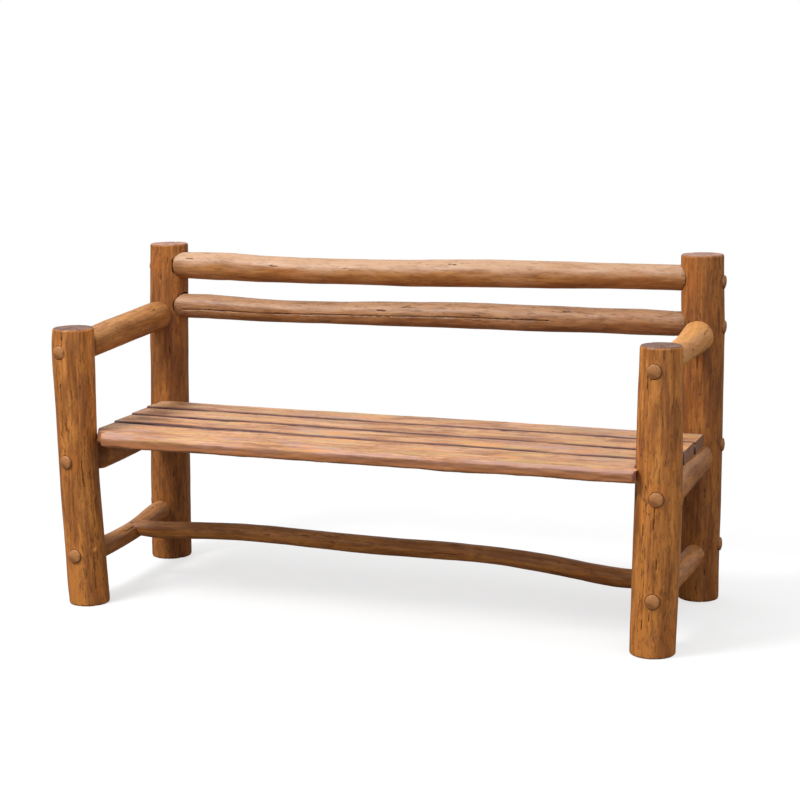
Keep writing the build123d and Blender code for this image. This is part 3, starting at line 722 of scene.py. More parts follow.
# ---- paths and helpers of the round pieces --------------------------------------------------
def end_rows(place, girth, outwards, tenon, bevel, cap_mark, rim_mark):
    """Place, girth and sawn mark of the rows of a log's end, from its middle out to its side."""
    apart = -outwards * 0.02 * MM
    rows = []
    if tenon:
        radius, length = tenon
        tip = place + outwards * length
        chamfer = 1.2 * MM
        rows += [(tip + apart * (i - 3), radius * share, cap_mark)
                 for i, share in enumerate((0.02, 0.5, 0.9))]
        rows += [(tip, radius - chamfer, cap_mark),
                 (tip - outwards * chamfer, radius, cap_mark),
                 (place + outwards * 0.1 * MM, radius, cap_mark)]
        rows += [(place + apart * (i - 3), radius + (girth - bevel - radius) * share, cap_mark)
                 for i, share in enumerate((0.1, 0.5, 0.95))]
    else:
        rows += [(place + apart * (i - 11), (girth - bevel) * (0.01 + i * 0.098), cap_mark)
                 for i in range(11)]
    for i in range(7):
        turn = math.pi / 2 * i / 6
        rows.append((place - outwards * bevel * (1 - math.cos(turn)),
                     girth - bevel * (1 - math.sin(turn)), rim_mark if i < 3 else 0.0))
    return rows


def shaped_path(rows, axis, bevels, tenons):
    """Rows of centre, girth and sawn mark for a log with rounded ends, caps and tenons."""
    start, end = rows[0, axis], rows[-1, axis]
    # Only the posts show their sawn ends. The other logs end inside the wood that they meet.
    marks = (1.0, 1.0) if axis == 2 else (0.35, 0.0)
    path = []

    def add(centre, place, girth, sawn):
        spot = np.array(centre[:3])
        spot[axis] = place
        path.append([*spot, girth, sawn])

    for row in end_rows(start, rows[0, 3], -1, tenons[0], bevels[0], *marks):
        add(rows[0], *row)
    for row in rows:
        if start + bevels[0] * 1.05 < row[axis] < end - bevels[1] * 1.05:
            add(row, row[axis], row[3], 0.0)
    for row in reversed(end_rows(end, rows[-1, 3], 1, tenons[1], bevels[1], *marks)):
        add(rows[-1], *row)
    return np.array(path)


def point_fields(mesh, **fields):
    """Write one number for every point of a mesh under each name."""
    for name, values in fields.items():
        mesh.attributes.new(name, "FLOAT", "POINT").data.foreach_set("value", np.ravel(values))


def path_mesh(name, paths):
    """A mesh of edges for one or several paths, with girth, along and sawn on its points."""
    edges, along, base = [], [], 0
    for path in paths:
        edges += [(base + i, base + i + 1) for i in range(len(path) - 1)]
        along += [0.0, *np.cumsum(np.linalg.norm(np.diff(path[:, :3], axis=0), axis=1))]
        base += len(path)
    rows = np.concatenate(paths)
    mesh = bpy.data.meshes.new(name)
    mesh.from_pydata(rows[:, :3].tolist(), edges, [])
    point_fields(mesh, girth=rows[:, 3], along=along, sawn=rows[:, 4])
    return mesh


def knot_cloud(name, knots=()):
    """Points where knots sit, each with its size and how far it stands out, in millimetres."""
    mesh = bpy.data.meshes.new(name + " knots")
    mesh.from_pydata([[c * MM for c in spot] for spot, _, _ in knots] + [SPARE_PLACE], [], [])
    point_fields(mesh, size=[size * MM for _, size, _ in knots] + [10 * MM],
                 rise=[rise * MM for _, _, rise in knots] + [0.0])
    return plain_object(name + " knots", mesh)


def log_splits(rows, axis, chance, count, given):
    """Place and angle along each of a log's drying cracks: those given, then scattered ones."""
    low, high = rows[0, axis], rows[-1, axis]
    splits = [[(place * MM, math.radians(angle)) for place, angle in split] for split in given]
    for _ in range(count):
        start = chance.uniform(low + 12 * MM, high - 60 * MM)
        angle = chance.uniform(0, 2 * math.pi)
        length = chance.uniform(16, 30) * MM * chance.choice((1, 1, 1.6, 3.2))
        splits.append([(start, angle), (min(start + length, high - 8 * MM),
                                        angle + chance.uniform(-0.07, 0.07))])
    return splits


def check_lines(name, axis, splits=(), rows=None, chance=None):
    """Lines just below a log's surface along its splits, with both ends out of the wood."""
    first, second = SIDES[axis]
    points, edges = [SPARE_PLACE, SPARE_PLACE + Vector((0, 0, -0.1))], [(0, 1)]
    for split in splits:
        places, angles = np.array(sorted(split)).T
        steps = max(3, int((places[-1] - places[0]) / (9 * MM)))
        for i, place in enumerate(np.linspace(places[0], places[-1], steps + 1)):
            angle = np.interp(place, places, angles) + chance.uniform(-1, 1) * 0.02
            *centre, radius = (np.interp(place, rows[:, axis], rows[:, k]) for k in range(4))
            radius += 1.6 * MM if i in (0, steps) else -0.6 * MM
            if i:
                edges.append((len(points) - 1, len(points)))
            aim = first * math.cos(angle) + second * math.sin(angle)
            points.append(Vector(centre) + aim * radius)
    mesh = bpy.data.meshes.new(name + " checks")
    mesh.from_pydata(points, edges, [])
    return plain_object(name + " checks", mesh)


def plain_object(name, data):
    thing = bpy.data.objects.new(name, data)
    bpy.context.scene.collection.objects.link(thing)
    return thing


def baked(thing):
    """Replace an object's mesh by what its modifiers make of it, and drop the modifiers."""
    bpy.context.view_layer.update()
    graph = bpy.context.evaluated_depsgraph_get()
    mesh = bpy.data.meshes.new_from_object(thing.evaluated_get(graph))
    if not mesh.polygons:
        raise RuntimeError(f"{thing.name} has come out empty")
    thing.modifiers.clear()
    thing.data = mesh
    mesh.name = thing.name
    return thing


def outward(thing, crease=0.7):
    """Weld a mesh, turn its faces outward and keep the sharp corners sharp."""
    scratch = bmesh.new()
    scratch.from_mesh(thing.data)
    bmesh.ops.remove_doubles(scratch, verts=scratch.verts, dist=0.002 * MM)
    bmesh.ops.recalc_face_normals(scratch, faces=scratch.faces)
    for edge in scratch.edges:
        if len(edge.link_faces) == 2 and edge.calc_face_angle(0.0) > crease:
            edge.smooth = False
    scratch.to_mesh(thing.data)
    scratch.free()
    return thing


def wooden(thing, tree, finish, **inputs):
    """Run one of the two node trees over an object and make the result its plain mesh."""
    if tree not in bpy.data.node_groups:
        TREES[tree]()
    modifier = thing.modifiers.new(tree, "NODES")
    modifier.node_group = bpy.data.node_groups[tree]
    set_inputs(modifier, Finish=wood_finish(finish), **inputs)
    return baked(thing)


def round_wood(name, paths, axis, finish, knots, lines, **inputs):
    """Sweep round wood along its paths, with its knots and drying cracks."""
    side, upright = SIDES[axis]
    thing = wooden(plain_object(name, path_mesh(name + " path", paths)), "Round wood", finish,
                   Side=side, Upright=upright, Knots=knots, Checks=lines, **inputs)
    for helper in (knots, lines):
        bpy.data.objects.remove(helper)
    return outward(thing)


def finished(thing, nodes):
    """Ride a piece on the bench's one body in place of its solids."""
    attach(thing, "root")
    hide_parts(*nodes)
    return thing


# ---- dowels and bores -----------------------------------------------------------------------
def connected(points, faces):
    """For every point, the number of the separate solid that it belongs to."""
    parent = list(range(len(points)))

    def root(i):
        while parent[i] != i:
            parent[i] = parent[parent[i]]
            i = parent[i]
        return i

    for a, b, c in faces:
        parent[root(a)] = root(b)
        parent[root(b)] = root(c)
    return np.array([root(i) for i in range(len(points))])


def long_axis(points, triangles):
    """A closed solid's centre and the direction it is longest in, from its volume's spread."""
    origin = points[triangles[0, 0]]
    a, b, c = (points[triangles[:, i]] - origin for i in range(3))
    weight = np.einsum("ij,ij->i", a, np.cross(b, c))
    total = weight.sum()
    centre = (weight[:, None] * (a + b + c)).sum(0) / (4 * total)
    spread = sum(np.einsum("i,ij,ik->jk", weight, corner, corner)
                 for corner in (a, b, c, a + b + c))
    spread = spread / (20 * total) - np.outer(centre, centre)
    return centre + origin, np.linalg.eigh(spread)[1][:, -1]


def dowel_axes(name, outward_of):
    """For every dowel of a node: the middle of its head's plane, its direction and its length."""
    points, faces = node_mesh(name)
    owner = connected(points, faces)
    dowels = []
    for group in sorted(set(owner), key=lambda g: tuple(points[owner == g].mean(0).round(4))):
        centre, direction = long_axis(points, faces[owner[faces[:, 0]] == group])
        if direction @ outward_of(centre) < 0:
            direction = -direction
        reach = (points[owner == group] - centre) @ direction
        dowels.append((Vector(centre + direction * reach.max()), Vector(direction),
                       reach.max() - reach.min()))
    return dowels


@functools.cache
def all_dowels():
    """The dowels of the three nodes, by node."""
    def to_front(_):
        return np.array([0.0, -1.0, 0.0])

    def to_side(centre):
        return np.array([math.copysign(1.0, centre[0]), 0.0, 0.0])

    sides = {"front_face_dowels": to_front, "back_rail_dowels": to_side,
             "tenon_cross_dowels": to_side}
    return {node: dowel_axes(node, outward_of) for node, outward_of in sides.items()}


def dowel_path(tip, direction, length):
    """Rows along one dowel: the flat of its tail, its shaft and its domed head."""
    settings = bpy.context.scene.bench_dowels
    rise = settings.head_height - settings.rim_height
    dome = (DOWEL_RADIUS**2 + rise**2) / (2 * rise)
    sunk = SUNK_HEAD if direction.x < -0.9 else 0.0
    rows = [(length - (3 - i) * 0.01 * MM, DOWEL_RADIUS * share, 0.4)
            for i, share in enumerate((0.02, 0.5, 0.97))]
    shaft = np.linspace(length - 0.1 * MM, settings.head_height + sunk + 0.1 * MM, 24)
    rows += [(depth, DOWEL_RADIUS, 0.3) for depth in shaft]
    for share in np.linspace(1.0, 0.012, 15):
        radius = DOWEL_RADIUS * share
        depth = dome - math.sqrt(dome**2 - radius**2)
        rows.append((depth + sunk + (1.2 * MM if share == 1.0 else 0.0), radius, 0.0))
    return np.array([[*(tip - direction * depth), girth, sawn] for depth, girth, sawn in rows])


def cutter(name, rods):
    """One mesh of closed rods, each given as its tip, direction and rows of depth and radius."""
    points, faces = [], []
    count = 64
    for tip, direction, rows in rods:
        turn = direction.to_track_quat("Z", "Y").to_matrix()
        base = len(points)
        for depth, radius in rows:
            for i in range(count):
                angle = 2 * math.pi * i / count
                spot = Vector((math.cos(angle) * radius, math.sin(angle) * radius, -depth))
                points.append(tip + turn @ spot)
        for near in range(base, base + (len(rows) - 1) * count, count):
            for i in range(count):
                after = (i + 1) % count
                faces.append((near + i, near + count + i, near + count + after, near + after))
        faces.append([base + i for i in range(count)])
        faces.append([len(points) - 1 - i for i in range(count)])
    mesh = bpy.data.meshes.new(name)
    mesh.from_pydata(points, [], faces)
    scratch = bmesh.new()
    scratch.from_mesh(mesh)
    bmesh.ops.recalc_face_normals(scratch, faces=scratch.faces)
    scratch.to_mesh(mesh)
    scratch.free()
    return plain_object(name, mesh)


def bored(thing, *rod_sets, solver="EXACT"):
    """Bore holes in a piece, one set of rods after another."""
    tools = [cutter(f"{thing.name} bores {i}", rods) for i, rods in enumerate(rod_sets) if rods]
    for tool in tools:
        modifier = thing.modifiers.new("Bores", "BOOLEAN")
        modifier.operation = "DIFFERENCE"
        modifier.solver = solver
        modifier.object = tool
    if tools:
        baked(thing)
    for tool in tools:
        bpy.data.objects.remove(tool)
    return thing


def dowel_rods(name):
    """The bores of the dowels that reach into a node."""
    low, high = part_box(name)
    gap = bpy.context.scene.bench_dowels.rim_gap
    near, outside, wide_end, close_start = 2 * MM, 12 * MM, 13 * MM, 13.5 * MM
    wide, close = DOWEL_RADIUS + gap, DOWEL_RADIUS + DOWEL_GAP
    rods = []
    for tip, direction, length in itertools.chain(*all_dowels().values()):
        spots = [tip - direction * depth for depth in (length - 3 * MM, 20 * MM, 60 * MM)]
        if any(all(low[i] - near < p[i] < high[i] + near for i in range(3)) for p in spots):
            rods.append((tip, direction, (
                (-outside, wide), (wide_end, wide), (close_start, close),
                (length + DOWEL_GAP, close))))
    return rods


def tenon_rod(name, axis, at_end, radius, length):
    """The mortise of one tenon, from just outside the post's face to the tenon's tip."""
    points, _ = node_mesh(name)
    tip = points[:, axis].max() if at_end else points[:, axis].min()
    tip_points = points[np.abs(points[:, axis] - tip) < 0.05 * MM]
    centre = Vector((tip_points.max(0) + tip_points.min(0)) / 2)
    direction = Vector((0, 0, 0))
    direction[axis] = -1.0 if at_end else 1.0
    outside, beyond = 6 * MM, 0.4 * MM
    wide = radius + TENON_GAP
    return (centre + direction * (length + outside), direction,
            ((0.0, wide), (length + outside + beyond, wide)))


def housing_rod(rail, at_end):
    """The round housing that takes a back rail's end, with room all round."""
    points, _ = node_mesh(rail)
    tip = points[:, 0].max() if at_end else points[:, 0].min()
    end_length, depth = 14 * MM, 40 * MM
    near = points[np.abs(points[:, 0] - tip) < end_length]
    radius = float(np.ptp(near[:, 2]) / 2) + bpy.context.scene.bench_logs.housing_gap
    return tenon_rod(rail, 0, at_end, radius - TENON_GAP, depth)


def post_rod(name, height, clearance):
    """An upright rod a little wider than a post, to scribe a plank round it at a height."""
    points, solid = node_solid(name)
    middle = Vector((points.min(0) + points.max(0)) / 2)
    centre, radius = round_at(solid, 2, height, middle)
    half, girth = 60 * MM, radius + clearance
    top = Vector((centre[0], centre[1], height + half))
    return top, Vector((0, 0, 1)), ((0.0, girth), (2 * half, girth))


# ---- logs -----------------------------------------------------------------------------------
def make_log(name, axis, finish, seed, bevels, tenons=(None, None), mortises=(), knots=(),
             checks=10, splits=(), lumps=1.0, crack=1.0, swell=0.0, planed=(UNPLANED, 0.0)):
    """Build one peeled log in place of its solid.

    A tenon is a radius and a length. A knot is a place, a size and a rise in millimetres. A
    split is a row of places along the log in millimetres, each with an angle in degrees.
    """
    settings = bpy.context.scene.bench_logs
    low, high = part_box(name)
    start = low[axis] + (tenons[0][1] if tenons[0] else 0)
    end = high[axis] - (tenons[1][1] if tenons[1] else 0)
    rows = log_path(name, axis, start, end, settings.row_length)
    if swell:
        fuller(rows, axis, low, high, swell)
    chance = random.Random(int(seed * 10))
    splits = log_splits(rows, axis, chance, checks, splits)
    thing = round_wood(
        name + "_log", [shaped_path(rows, axis, bevels, tenons)], axis, finish,
        knot_cloud(name, knots), check_lines(name, axis, splits, rows, chance), **{
            "Columns": int(2 * math.pi * rows[:, 3].max() / settings.column_width),
            "Lump depth": settings.lump_depth * lumps, "Fleck depth": settings.fleck_depth,
            "Check depth": settings.check_depth, "Check width": settings.check_width * crack,
            "Seed": seed, "Planed height": planed[0], "Planed slope": planed[1]})
    bored(thing, dowel_rods(name), list(mortises))
    return finished(thing, [name])


def seat_level():
    """Height and slope of the planks' underside, and their thickness."""
    points, _ = node_mesh("second_seat_plank")
    left = points[points[:, 0] < points[:, 0].min() + 2 * MM]
    right = points[points[:, 0] > points[:, 0].max() - 2 * MM]
    a, b = left[left[:, 2].argmin()], right[right[:, 2].argmin()]
    slope = (b[2] - a[2]) / (b[0] - a[0])
    return a[2] - slope * a[0], slope, float(np.ptp(left[:, 2]))


class BENCH_OT_front_posts(bpy.types.Operator):
    """Build the two short front posts"""

    bl_idname = "bench.front_posts"
    bl_label = "Front Posts"

    def execute(self, context):
        bevels = (5 * MM, 6.5 * MM)
        make_log("front_left_post", 2, "Peeled post", 1.3, bevels, checks=26, knots=(
            ((-667, -272, 140), 11, 4.5), ((-684, -283, 150), 5, 1.2),
            ((-655, -262, 118), 4.5, 1.2)),
            splits=(((676, -3), (650, -2)), ((560, -12), (515, -14)), ((372, 38), (300, 42))))
        make_log("front_right_post", 2, "Peeled post", 4.1, bevels, checks=26, knots=(
            ((771, -238, 358), 15, 2.5), ((722, -287, 325), 6, 0.5)),
            splits=(((364, -20), (324, -17)), ((350, 4), (292, 1)), ((650, -23), (602, -25)),
                    ((590, 57), (548, 55)), ((250, -24), (100, -27))))
        return {"FINISHED"}


class BENCH_OT_rear_posts(bpy.types.Operator):
    """Build the two tall rear posts with the mortises of the side members"""

    bl_idname = "bench.rear_posts"
    bl_label = "Rear Posts"

    def execute(self, context):
        for side, seed in (("left", 7.7), ("right", 10.9)):
            mortises = [
                tenon_rod(side + "_arm", 1, True, *ARM_TENON),
                tenon_rod(side + "_seat_bearer", 1, True, *BEARER_TENON),
                tenon_rod(side + "_side_stretcher", 1, True, *SIDE_TENON),
                housing_rod("top_back_rail", side == "right"),
                housing_rod("lower_back_rail", side == "right"),
            ]
            make_log(f"rear_{side}_post", 2, "Peeled rear post", seed, (5 * MM, 6 * MM),
                     mortises=mortises, checks=34)
        return {"FINISHED"}


class BENCH_OT_back_rails(bpy.types.Operator):
    """Build the two back rails"""

    bl_idname = "bench.back_rails"
    bl_label = "Back Rails"

    def execute(self, context):
        bevels = (context.scene.bench_logs.shoulder_bevel,) * 2
        make_log("top_back_rail", 0, "Peeled top rail", 13.3, bevels, checks=14, lumps=1.2,
                 swell=3.5 * MM, knots=(((150, 212, 800), 9, 1.0), ((-330, 210, 795), 7, 0.8)),
                 splits=(((-400, 22), (-372, 20)), ((-195, 20), (-178, 19))))
        make_log("lower_back_rail", 0, "Peeled low rail", 17.9, bevels, lumps=1.2, crack=1.8,
                 swell=3.8 * MM, knots=(((-470, 212, 690), 8, 0.9), ((478, 212, 694), 9, 1.0)),
                 splits=(((-652, -12), (-560, -9), (-420, -8), (-250, -3), (-60, -4), (150, -2),
                          (300, -3), (352, -2)), ((-105, 24), (-80, 22)), ((150, 8), (175, 6))))
        return {"FINISHED"}


class BENCH_OT_arms(bpy.types.Operator):
    """Build the two arms, tenoned into the rear posts"""

    bl_idname = "bench.arms"
    bl_label = "Arms"

    def execute(self, context):
        settings = context.scene.bench_logs
        for name, seed, rear_bevel, finish in (
                ("left_arm", 21.1, settings.arm_bevel, "Peeled arm"),
                ("right_arm", 24.7, settings.shoulder_bevel, "Peeled pale arm")):
            make_log(name, 1, finish, seed, (settings.shoulder_bevel, rear_bevel),
                     (None, ARM_TENON), checks=5)
        return {"FINISHED"}


class BENCH_OT_bearers(bpy.types.Operator):
    """Build the two seat bearers, planed flat on top"""

    bl_idname = "bench.bearers"
    bl_label = "Seat Bearers"

    def execute(self, context):
        bevels = (context.scene.bench_logs.shoulder_bevel,) * 2
        height, slope, _ = seat_level()
        for name, seed in (("left_seat_bearer", 28.3), ("right_seat_bearer", 31.9)):
            make_log(name, 1, "Peeled stretcher", seed, bevels, (None, BEARER_TENON),
                     planed=(height - 0.15 * MM, slope))
        return {"FINISHED"}


class BENCH_OT_stretchers(bpy.types.Operator):
    """Build the two side stretchers and the long centre stretcher"""

    bl_idname = "bench.stretchers"
    bl_label = "Stretchers"

    def execute(self, context):
        bevels = (context.scene.bench_logs.stretcher_bevel,) * 2
        for side, seed in (("left", 35.3), ("right", 38.1)):
            mortise = tenon_rod("centre_stretcher", 0, side == "right", *CENTRE_TENON)
            make_log(side + "_side_stretcher", 1, "Peeled stretcher", seed, bevels,
                     (None, SIDE_TENON), mortises=[mortise])
        make_log("centre_stretcher", 0, "Peeled stretcher", 41.7, bevels,
                 (CENTRE_TENON, CENTRE_TENON), checks=16, lumps=1.3)
        return {"FINISHED"}


# ---- seat planks ----------------------------------------------------------------------------
# Where the seat's plain left end begins: the painted sheen and the wider painted gap shade fade out
# to nothing there.
PLAIN_END = -660 * MM


def plank_edges(solid, places, heights, low, high):
    """Where a plank's long edges lie at each place along it, by rays from the front and back."""
    edges = []
    outside, inside, reach = 50 * MM, 0.4 * MM, 1.0
    for x, z in zip(np.clip(places, low[0] + inside, high[0] - inside), heights):
        front = solid.ray_cast(Vector((x, low[1] - outside, z)), Vector((0, 1, 0)), reach)[0]
        rear = solid.ray_cast(Vector((x, high[1] + outside, z)), Vector((0, -1, 0)), reach)[0]
        if front is None or rear is None:
            raise RuntimeError(f"the plank's edges aren't found at {x:.3f}")
        edges.append((front[1], rear[1]))
    return np.array(edges)


def plank_places(low, high, length):
    """Places along a plank, closer together near its ends."""
    inside, reach, close = 0.02 * MM, 88 * MM, 1.1 * MM
    start, end = low[0] + inside, high[0] - inside
    near = np.arange(start, start + reach, close)
    far = np.arange(end, end - reach, -close)[::-1]
    shortest = length * 0.4
    middle = np.arange(near[-1] + length, far[0] - shortest, length)
    return np.concatenate([near, middle, far])


def carry_corner(edges, places, corner_end):
    """Carry a plank's right front corner on to a place and round it off there."""
    radius, notch = 9 * MM, 15 * MM
    drop = int(np.argmax(np.diff(edges[:, 0]) > notch))
    carried = (places > places[drop]) & (places < corner_end)
    turn = np.clip((places[carried] - corner_end) / radius + 1, 0, 1)
    edges[carried, 0] = edges[drop, 0] + radius * (1 - np.sqrt(1 - turn**2))
    return drop


def rounding(bevel, steps):
    """Steps round one corner: how far in from the edge and how far off the face."""
    return [(bevel * (1 - math.cos(t)), bevel * (1 - math.sin(t)))
            for t in np.linspace(0, math.pi / 2, steps + 1)]


def plank_section(thick, count, front_bevel, rear_bevel, under_bevel):
    """One section: up the front edge, over the face, down the rear edge and back below.

    Gives for each point its share of the width, its way in from the edge, its height and
    whether it is on an edge.
    """
    low_bevel = 1.5 * MM
    # Steps of the rear edge, the underside and the front edge, then of the roundings: the two
    # at the top, the low one at the rear and the low one in front.
    rear, below, front = 7, 20, 6
    top_turn, rear_turn, front_turn = 6, 2, 5
    rows = [(0.0, inset, thick - off, 1.0) for inset, off in rounding(front_bevel, top_turn)]
    rows += [(i / count, 0.0, thick, 0.0) for i in range(1, count)]
    rows += [(1.0, -inset, thick - off, 1.0)
             for inset, off in reversed(rounding(rear_bevel, top_turn))]
    rows += [(1.0, 0.0, (thick - rear_bevel) * (1 - i / rear) + low_bevel * i / rear, 1.0)
             for i in range(1, rear)]
    rows += [(1.0, -inset, off, 1.0) for inset, off in rounding(low_bevel, rear_turn)]
    rows += [(1 - i / below, 0.0, 0.0, 0.0) for i in range(1, below)]
    rows += [(0.0, inset, off, 1.0) for inset, off in reversed(rounding(under_bevel, front_turn))]
    rows += [(0.0, 0.0, under_bevel + (thick - front_bevel - under_bevel) * (i / front), 1.0)
             for i in range(1, front)]
    return (np.array(column) for column in zip(*rows))


def shade_near_gap(depth, places, gap_shading):
    """How much painted shade the face has at a depth in from the edge of a gap.

    The painted shade is 0 for no gap and 1 for a plain one. At 2 it reaches further in at the left.
    """
    plain, further, middle, growth, fade = 12 * MM, 11 * MM, -150 * MM, 350 * MM, 100 * MM
    left = (np.clip((middle - places) / growth, 0, 1)
            * np.clip((places - PLAIN_END) / fade, 0, 1))
    reach = plain + (gap_shading - 1) * further * left
    return (gap_shading > 0) * np.clip(1 - depth / reach, 0, 1)


def plank_marks(mesh, x, y, front, rear, share, rise, face, bloom, gaps):
    """Write where a plank is sawn, where it has painted sheen, painted shade and painted gap shade,
    for every row along it.

    The live edge has painted sheen on top, and where the sheen is full it also has painted shade
    below the height of its face and at the plank's left end.
    """
    sawn = np.zeros(y.shape)
    sawn[[0, -1]] = 1.0
    sheen_width, fade, corner, corner_fade = 30 * MM, 120 * MM, -600 * MM, 60 * MM
    upper_part, faint, shade_top = 0.35, 0.16, 1.45
    near = np.clip(1 - (y - front) / sheen_width, 0, 1) * (rise > rise.max() * upper_part)
    clear = np.clip((x - PLAIN_END) / fade, 0, 1)
    below = np.clip(shade_top - rise / face, 0, 1)
    left_end = np.clip((corner - x) / corner_fade, 0, 1)
    point_fields(
        mesh, sawn=sawn, bloom=near * bloom * clear + (1 - near) * faint,
        shade=(share <= 0) * np.maximum(below, left_end) * (bloom >= 1.0),
        stain=np.maximum(shade_near_gap(y - front, x, gaps[0]), shade_near_gap(rear - y, x, gaps[1])))


def make_plank(name, seed, front_bevel, rear_bevel, under_bevel=1.5 * MM, wane=0.6, bloom=0.3,
               gaps=(1.0, 1.0), corner_end=None):
    """Build one plank in place of its solid: rounded long edges, sawn ends, a worn face.

    The gaps say how much painted shade lines the gap before and the gap behind the plank.
    """
    settings = bpy.context.scene.bench_planks
    points, solid = node_solid(name)
    low, high = points.min(0), points.max(0)
    base, slope, thick = seat_level()
    places = plank_places(low, high, settings.row_length)
    under = base + slope * places
    edges = plank_edges(solid, places, under + thick / 2, low, high)
    if corner_end is not None:
        drop = carry_corner(edges, places, corner_end)
        scribe = post_rod("front_right_post", float(under[drop] + thick / 2), 1.2 * MM)
    count = int(np.median(edges[:, 1] - edges[:, 0]) / settings.column_width)
    share, inset, rise, edge = plank_section(thick, count, front_bevel, rear_bevel, under_bevel)

    # Every row along the plank is one section, and every column runs along the grain.
    x, front, rear = places[:, None], edges[:, :1], edges[:, 1:]
    start, end = front + max(front_bevel, under_bevel), rear - rear_bevel
    y = np.where((share > 0) & (share < 1), start + (end - start) * share,
                 np.where(share <= 0, front, rear)) + inset
    verts = np.stack([x + 0 * y, y, under[:, None] + rise], -1)
    index = np.arange(y.size).reshape(y.shape)
    a, b = index[:-1], index[1:]
    quads = np.stack([a, b, np.roll(b, -1, 1), np.roll(a, -1, 1)], -1).reshape(-1, 4)
    mesh = bpy.data.meshes.new(name)
    mesh.from_pydata(verts.reshape(-1, 3).tolist(), [],
                     quads.tolist() + [list(index[0]), list(index[-1][::-1])])
    point_fields(mesh, edge=np.broadcast_to(edge, y.shape))
    plank_marks(mesh, x, y, front, rear, share, rise, thick - front_bevel * 0.5, bloom, gaps)
    thing = outward(plain_object(name + "_board", mesh), 3.2)
    wooden(thing, "Sawn plank", "Live edge plank", **{
        "Hollow depth": settings.hollow_depth, "Crack depth": settings.crack_depth,
        "Wane depth": settings.wane_depth * wane, "Seed": seed})
    outward(thing, 0.9)
    if corner_end is not None:
        bored(thing, [scribe], solver="MANIFOLD")
    return finished(thing, [name])


class BENCH_OT_planks(bpy.types.Operator):
    """Build the four seat planks"""

    bl_idname = "bench.planks"
    bl_label = "Seat Planks"

    def execute(self, context):
        make_plank("front_seat_plank", 2.3, 9 * MM, 4 * MM, 9 * MM, wane=1.0, bloom=1.0,
                   gaps=(0.0, 2.0), corner_end=681 * MM)
        make_plank("second_seat_plank", 5.9, 4 * MM, 4 * MM, gaps=(2.0, 1.0))
        make_plank("third_seat_plank", 9.1, 4 * MM, 4 * MM)
        make_plank("rear_seat_plank", 12.7, 4 * MM, 1.5 * MM, gaps=(1.0, 0.0))
        return {"FINISHED"}


class BENCH_OT_dowels(bpy.types.Operator):
    """Build the fourteen turned dowels with their domed heads"""

    bl_idname = "bench.dowels"
    bl_label = "Dowels"

    def execute(self, context):
        for i, (node, dowels) in enumerate(all_dowels().items()):
            thing = round_wood(
                node + "_turned", [dowel_path(*dowel) for dowel in dowels], 1, "Turned dowel",
                knot_cloud(node), check_lines(node, 1), **{
                    "Columns": 56, "Lump depth": 0.0, "Fleck depth": 0.0, "Seed": 50 + 3.3 * i})
            finished(thing, [node])
        return {"FINISHED"}


# ---- stage ----------------------------------------------------------------------------------
def lay_floor():
    """Pale floor that fades to white away from the bench and keeps its soft shadow."""
    material = bpy.data.materials.new("Pale floor")
    write = NodeWriter(emptied_tree(material))
    matt = write.get("ShaderNodeBsdfDiffuse", {"Color": (0.9, 0.9, 0.9, 1.0)})
    bounce = write.get("ShaderNodeBsdfDiffuse", {"Color": (0.2, 0.18, 0.16, 1.0)})
    glow = write.get("ShaderNodeEmission", {"Color": (1, 1, 1, 1), "Strength": 1.0})
    away = write.vector("LENGTH", write.vector(
        "MULTIPLY", write.get("ShaderNodeTexCoord", output="Object"), (0.62, 1.0, 1.0)))
    fade = write.ramp(away, 0.35, 1.5, 0.62, 1.0)
    near = write.get("ShaderNodeMixShader", {0: fade, 1: matt, 2: glow})
    camera = write.get("ShaderNodeLightPath", output="Is Camera Ray")
    write.add("ShaderNodeOutputMaterial", {
        0: write.get("ShaderNodeMixShader", {0: camera, 1: bounce, 2: near})})

    mesh = bpy.data.meshes.new("floor")
    mesh.from_pydata([(-9, -9, 0), (9, -9, 0), (9, 9, 0), (-9, 9, 0)], [], [(0, 1, 2, 3)])
    mesh.materials.append(material)
    plain_object("floor", mesh)


def hang_sky(strength):
    """A sky that is white to the camera, with its light mostly from overhead."""
    world = bpy.data.worlds.new("Studio")
    write = NodeWriter(emptied_tree(world))
    aim = write.get("ShaderNodeTexCoord", output="Generated")
    soft = write.ramp(write.parts(aim)[2], -0.1, 0.9, strength * 0.24, strength)
    camera = write.get("ShaderNodeLightPath", output="Is Camera Ray")
    bright = write.plus(soft, write.times(write.minus(1.0, soft), camera))
    write.add("ShaderNodeOutputWorld", {0: write.get(
        "ShaderNodeBackground", {"Color": (1, 1, 1, 1), "Strength": bright})})
    bpy.context.scene.world = world


def hang_lamp(name, spot, size, power):
    """A round soft lamp that points at the bench's middle."""
    light = bpy.data.lights.new(name, "AREA")
    light.shape = "DISK"
    light.size = size
    light.energy = power
    lamp = plain_object(name, light)
    lamp.location = spot
    aim = Vector((0, 0, 0.4)) - Vector(spot)
    lamp.rotation_euler = aim.to_track_quat("-Z", "Y").to_euler()


def set_camera(lens, spot, yaw, pitch, roll):
    """Look from a spot, turned left by the yaw and down by the pitch, then rolled."""
    ahead = Vector((-math.sin(yaw) * math.cos(pitch), math.cos(yaw) * math.cos(pitch),
                    -math.sin(pitch)))
    level = ahead.cross(Vector((0, 0, 1))).normalized()
    upright = level.cross(ahead)
    right = math.cos(roll) * level + math.sin(roll) * upright
    up = -math.sin(roll) * level + math.cos(roll) * upright
    data = bpy.data.cameras.new("camera")
    data.lens = lens
    data.sensor_width = 36
    data.clip_start, data.clip_end = 0.05, 60
    camera = plain_object("camera", data)
    turn = Matrix((right, up, -ahead)).transposed()
    camera.matrix_world = Matrix.Translation(spot) @ turn.to_4x4()
    bpy.context.scene.camera = camera


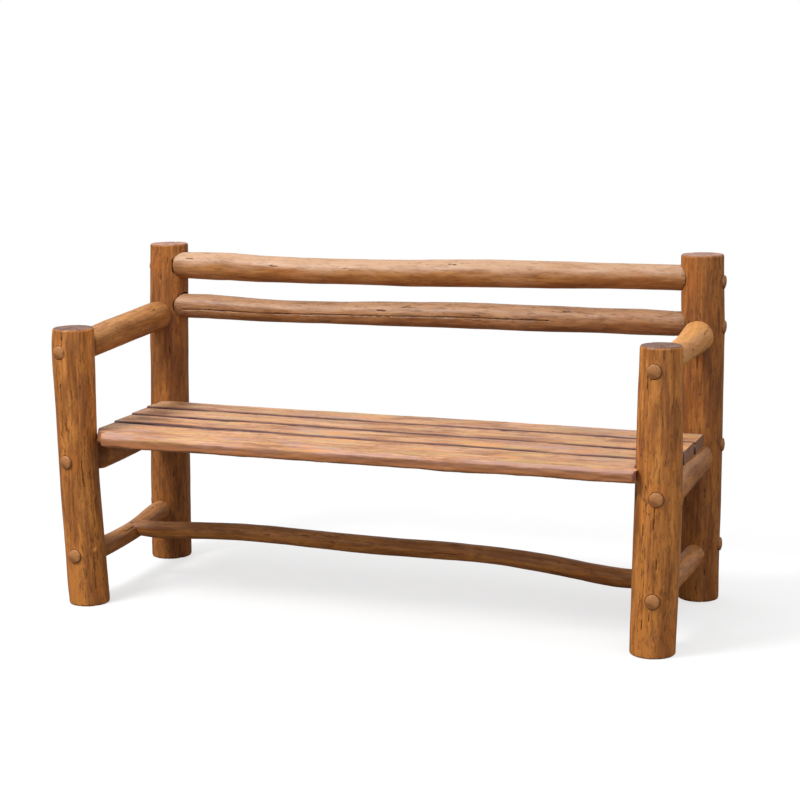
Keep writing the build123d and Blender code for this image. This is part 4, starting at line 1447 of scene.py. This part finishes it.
class BENCH_OT_stage(bpy.types.Operator):
    """Lay the floor, hang the lamps and set up the camera"""

    bl_idname = "bench.stage"
    bl_label = "Floor, Light and Camera"

    def execute(self, context):
        settings = context.scene.bench_stage
        lay_floor()
        hang_sky(settings.sky)
        hang_lamp("key", (-1.7, -2.3, 3.7), 1.5, settings.key_power)
        hang_lamp("fill", (3.2, -3.2, 1.6), 2.4, settings.fill_power)
        set_camera(settings.lens, (1.555, -4.2321, 1.287), math.radians(19.795),
                   math.radians(9.861), math.radians(-0.753))
        context.scene.view_settings.view_transform = "Standard"
        return {"FINISHED"}


class BENCH_PT_panel(bpy.types.Panel):
    """The bench's steps and settings."""

    bl_label = "Log Bench"
    bl_idname = "BENCH_PT_panel"
    bl_space_type = "VIEW_3D"
    bl_region_type = "UI"
    bl_category = "Log Bench"

    def draw(self, context):
        for title, group in SETTINGS.items():
            box = self.layout.box()
            box.label(text=title.replace("bench_", "").capitalize())
            for name in group.__annotations__:
                box.prop(getattr(context.scene, title), name)
        for operator in OPERATORS:
            self.layout.operator(operator.bl_idname)


SETTINGS = {
    "bench_logs": LogSettings,
    "bench_planks": PlankSettings,
    "bench_dowels": DowelSettings,
    "bench_finish": FinishSettings,
    "bench_stage": StageSettings,
}
OPERATORS = (
    BENCH_OT_front_posts, BENCH_OT_rear_posts, BENCH_OT_back_rails, BENCH_OT_arms,
    BENCH_OT_bearers, BENCH_OT_stretchers, BENCH_OT_planks, BENCH_OT_dowels, BENCH_OT_stage,
)


def register():
    for group in SETTINGS.values():
        bpy.utils.register_class(group)
    for title, group in SETTINGS.items():
        setattr(bpy.types.Scene, title, bpy.props.PointerProperty(type=group))
    for operator in OPERATORS:
        bpy.utils.register_class(operator)
    bpy.utils.register_class(BENCH_PT_panel)


def unregister():
    bpy.utils.unregister_class(BENCH_PT_panel)
    for operator in reversed(OPERATORS):
        bpy.utils.unregister_class(operator)
    for title in SETTINGS:
        delattr(bpy.types.Scene, title)
    for group in SETTINGS.values():
        bpy.utils.unregister_class(group)


def main():
    register()
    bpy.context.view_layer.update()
    for operator in OPERATORS:
        group, name = operator.bl_idname.split(".")
        getattr(getattr(bpy.ops, group), name)()


if __name__ == "__main__":
    main()
